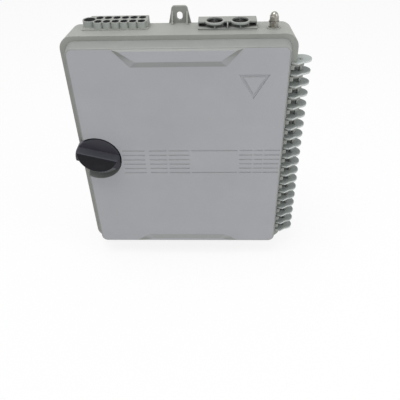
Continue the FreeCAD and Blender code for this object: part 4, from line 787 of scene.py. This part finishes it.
@dataclass
class Lid:
    """The hinged cover with its knuckles and its seal."""

    def build(self, finishes: Finishes) -> None:
        """Dress the cover, its knuckles and its seal.

        Args:
            finishes: the box's finishes.
        """
        wear("cover", finishes.cover)
        wear("cover_knuckles", finishes.base)
        wear("cover_seal", finishes.rubber)


@dataclass
class Screws:
    """Pan head screws with a cross recess, all in one group."""

    name: str
    node: str
    slot: str
    body: Body
    places: Tuple[Tuple[float, float], ...]
    level: float
    head_radius: float = 2.9
    head: float = 2.0
    radius: float = 1.5
    length: float = 8.0
    point: float = 0.8
    recess: float = 1.1
    cross_reach: float = 0.62
    cross_fade: float = 0.12
    cross_width: float = 0.13
    axis: Axis = Axis.FRONT

    def build(self, finish: bpy.types.Material) -> None:
        """Make the group: a domed head whose height drops inside a cross, above a plain shank.

        Args:
            finish: the screws' finish.
        """
        angle = rounds(48)
        share = np.concatenate([np.linspace(0.0, self.cross_reach, 12), np.linspace(0.66, 1.0, 7)])
        radius = self.head_radius * share[:, None] * np.ones((1, angle.size))
        crown = self.head * (0.55 + 0.45 * np.sqrt(np.clip(1.0 - share ** 4, 0.0, 1.0)))[:, None]
        across = np.minimum(np.abs(radius * np.cos(angle)), np.abs(radius * np.sin(angle)))
        width = self.cross_width * self.head_radius
        cross = np.clip((width * 1.5 - across) / width, 0.0, 1.0)
        inside = np.clip((self.cross_reach - share) / self.cross_fade, 0.0, 1.0)[:, None]
        height = crown - self.recess * cross * inside
        below = np.array([[self.head_radius, 0.0], [self.radius, 0.0],
                          [self.radius, self.point - self.length], [0.0, -self.length]])
        radius = np.vstack([radius, np.repeat(below[:, :1], angle.size, axis=1)])
        height = np.vstack([height, np.repeat(below[:, 1:], angle.size, axis=1)])
        spots = np.array([[x, -self.level, z] for x, z in self.places]) * MM
        points = turned(radius * MM, height * MM, angle, spots, self.axis)
        add(skin(self.name, points, True, 0.5), self.body, finish, self.slot, self.node)


@dataclass
class Latch:
    """The quarter-turn knob with its shaft seal, cam and cam screw."""

    x: float = -114.0
    screw_level: float = 45.0
    screw_head: float = 5.6
    screw_length: float = 7.9

    def build(self, finishes: Finishes) -> None:
        """Dress the knob, the seal and the cam, and make the cam's screw.

        Args:
            finishes: the box's finishes.
        """
        wear("latch_knob", finishes.knob)
        wear("latch_seal", finishes.rubber)
        wear("latch_cam", finishes.zinc)
        Screws("cam_screw", "latch_screw", "steel", Body.LATCH, ((self.x, 0.0),), self.screw_level,
               head_radius=self.screw_head, length=self.screw_length, axis=Axis.BACK).build(finishes.zinc)


@dataclass
class Interior:
    """What the base carries inside: the splice tray, the adapters on their bracket and the cable clamps."""

    tray_z: float = -86.0
    tray_screw: Tuple[float, float] = (72.0, 36.0)
    tray_level: float = 13.6
    bracket_x: float = -20.0
    bracket_screw: Tuple[float, float] = (60.0, 31.0)
    bracket_level: float = 13.6
    clamp_places: Tuple[float, ...] = (31.3, 54.1, 61.4, 84.2)
    clamp_z: float = 118.0
    clamp_level: float = 23.6
    screw_slot: str = "steel"

    def build(self, finishes: Finishes) -> None:
        """Dress the inner CAD nodes and make their screws.

        Args:
            finishes: the box's finishes.
        """
        for node, finish in (("splice_tray", finishes.tray), ("splice_combs", finishes.foam),
                             ("tray_lid", finishes.clear), ("adapter_bracket", finishes.bracket),
                             ("fibre_adapters", finishes.adapter), ("adapter_dust_caps", finishes.cap),
                             ("cable_clamps", finishes.bracket)):
            wear(node, finish)
        x, z = self.tray_screw
        corners = tuple((sx * x, self.tray_z + sz * z) for sx in (-1, 1) for sz in (-1, 1))
        x, z = self.bracket_screw
        feet = tuple((self.bracket_x + side * x, z) for side in (-1, 1))
        straps = tuple((place, self.clamp_z) for place in self.clamp_places)
        for name, node, places, level in (
                ("tray_cross_screws", "tray_screws", corners, self.tray_level),
                ("bracket_cross_screws", "bracket_screws", feet, self.bracket_level),
                ("clamp_cross_screws", "clamp_screws", straps, self.clamp_level)):
            Screws(name, node, self.screw_slot, Body.BASE, places, level).build(finishes.zinc)


@dataclass(frozen=True)
class Softbox:
    """A square soft light that faces the box: its place and side are in metres."""

    name: str
    place: Point
    side: float
    watts: float

    def build(self) -> None:
        """Add the lamp, turned so that it shines at the origin."""
        data = bpy.data.lights.new(self.name, "AREA")
        data.size = self.side
        data.energy = self.watts
        lamp = bpy.data.objects.new(self.name, data)
        lamp.location = self.place
        x, y, z = self.place
        lamp.rotation_euler = (math.atan2(math.hypot(x, y), z), 0.0, math.atan2(x, -y))
        bpy.context.scene.collection.objects.link(lamp)


@dataclass
class Studio:
    """The camera, the soft lights and the pale floor."""

    camera_place: Point = (0.04573, -0.59869, 0.35768)
    camera_turn: Point = (50.979, 1.368, 1.577)
    lens: float = 43.2
    sensor: float = 36.0
    nearest: float = 0.01
    lamps: Tuple[Softbox, ...] = (
        Softbox("key_softbox", (-0.28, -0.35, 1.78), 1.1, 22.0),
        Softbox("fill_softbox", (1.5, -0.6, 0.6), 1.2, 9.0))
    floor_level: float = -0.1775
    floor_reach: float = 6.0
    floor_colour: Colour = (0.80, 0.80, 0.80, 1.0)
    floor_white: float = 0.86
    ambient: float = 0.62

    def camera(self) -> None:
        """Set the camera where the photo was taken from."""
        data = bpy.data.cameras.new("photo_camera")
        data.lens = self.lens
        data.sensor_width = self.sensor
        data.clip_start = self.nearest
        camera = bpy.data.objects.new("photo_camera", data)
        camera.location = self.camera_place
        camera.rotation_euler = [math.radians(angle) for angle in self.camera_turn]
        bpy.context.scene.collection.objects.link(camera)
        bpy.context.scene.camera = camera

    def floor(self) -> None:
        """Lay a wide pale floor under the box that keeps a faint shadow."""
        corners = np.array([[-1, -1], [1, -1], [1, 1], [-1, 1]], float) * self.floor_reach
        points = np.column_stack([corners, np.full(4, self.floor_level)])
        mesh = bpy.data.meshes.new("floor")
        mesh.from_pydata(points.tolist(), [], [(0, 1, 2, 3)])
        floor = bpy.data.objects.new("floor", mesh)
        bpy.context.scene.collection.objects.link(floor)
        sheet = FinishSheet("pale_floor")
        sheet.backdrop("ShaderNodeBsdfDiffuse", self.floor_colour, None, self.floor_white)
        mesh.materials.append(sheet.material)

    def sky(self) -> None:
        """Even ambient light that the camera sees as white."""
        world = bpy.data.worlds.new("studio_light")
        bpy.context.scene.world = world
        sheet = NodeSheet(world, "ShaderNodeOutputWorld")
        sheet.backdrop("ShaderNodeBackground", WHITE, self.ambient, 1.0)

    def build(self) -> None:
        """Set up the whole studio."""
        bpy.context.scene.view_settings.view_transform = "Standard"
        self.camera()
        for lamp in self.lamps:
            lamp.build()
        self.floor()
        self.sky()


def main() -> None:
    """Build the studio and every sub-assembly."""
    logging.basicConfig(level=logging.INFO)
    Studio().build()
    finishes = Finishes()
    for assembly in (Housing(), EarthTerminal(), Lid(), Latch(), Interior()):
        assembly.build(finishes)


if __name__ == "__main__":
    main()
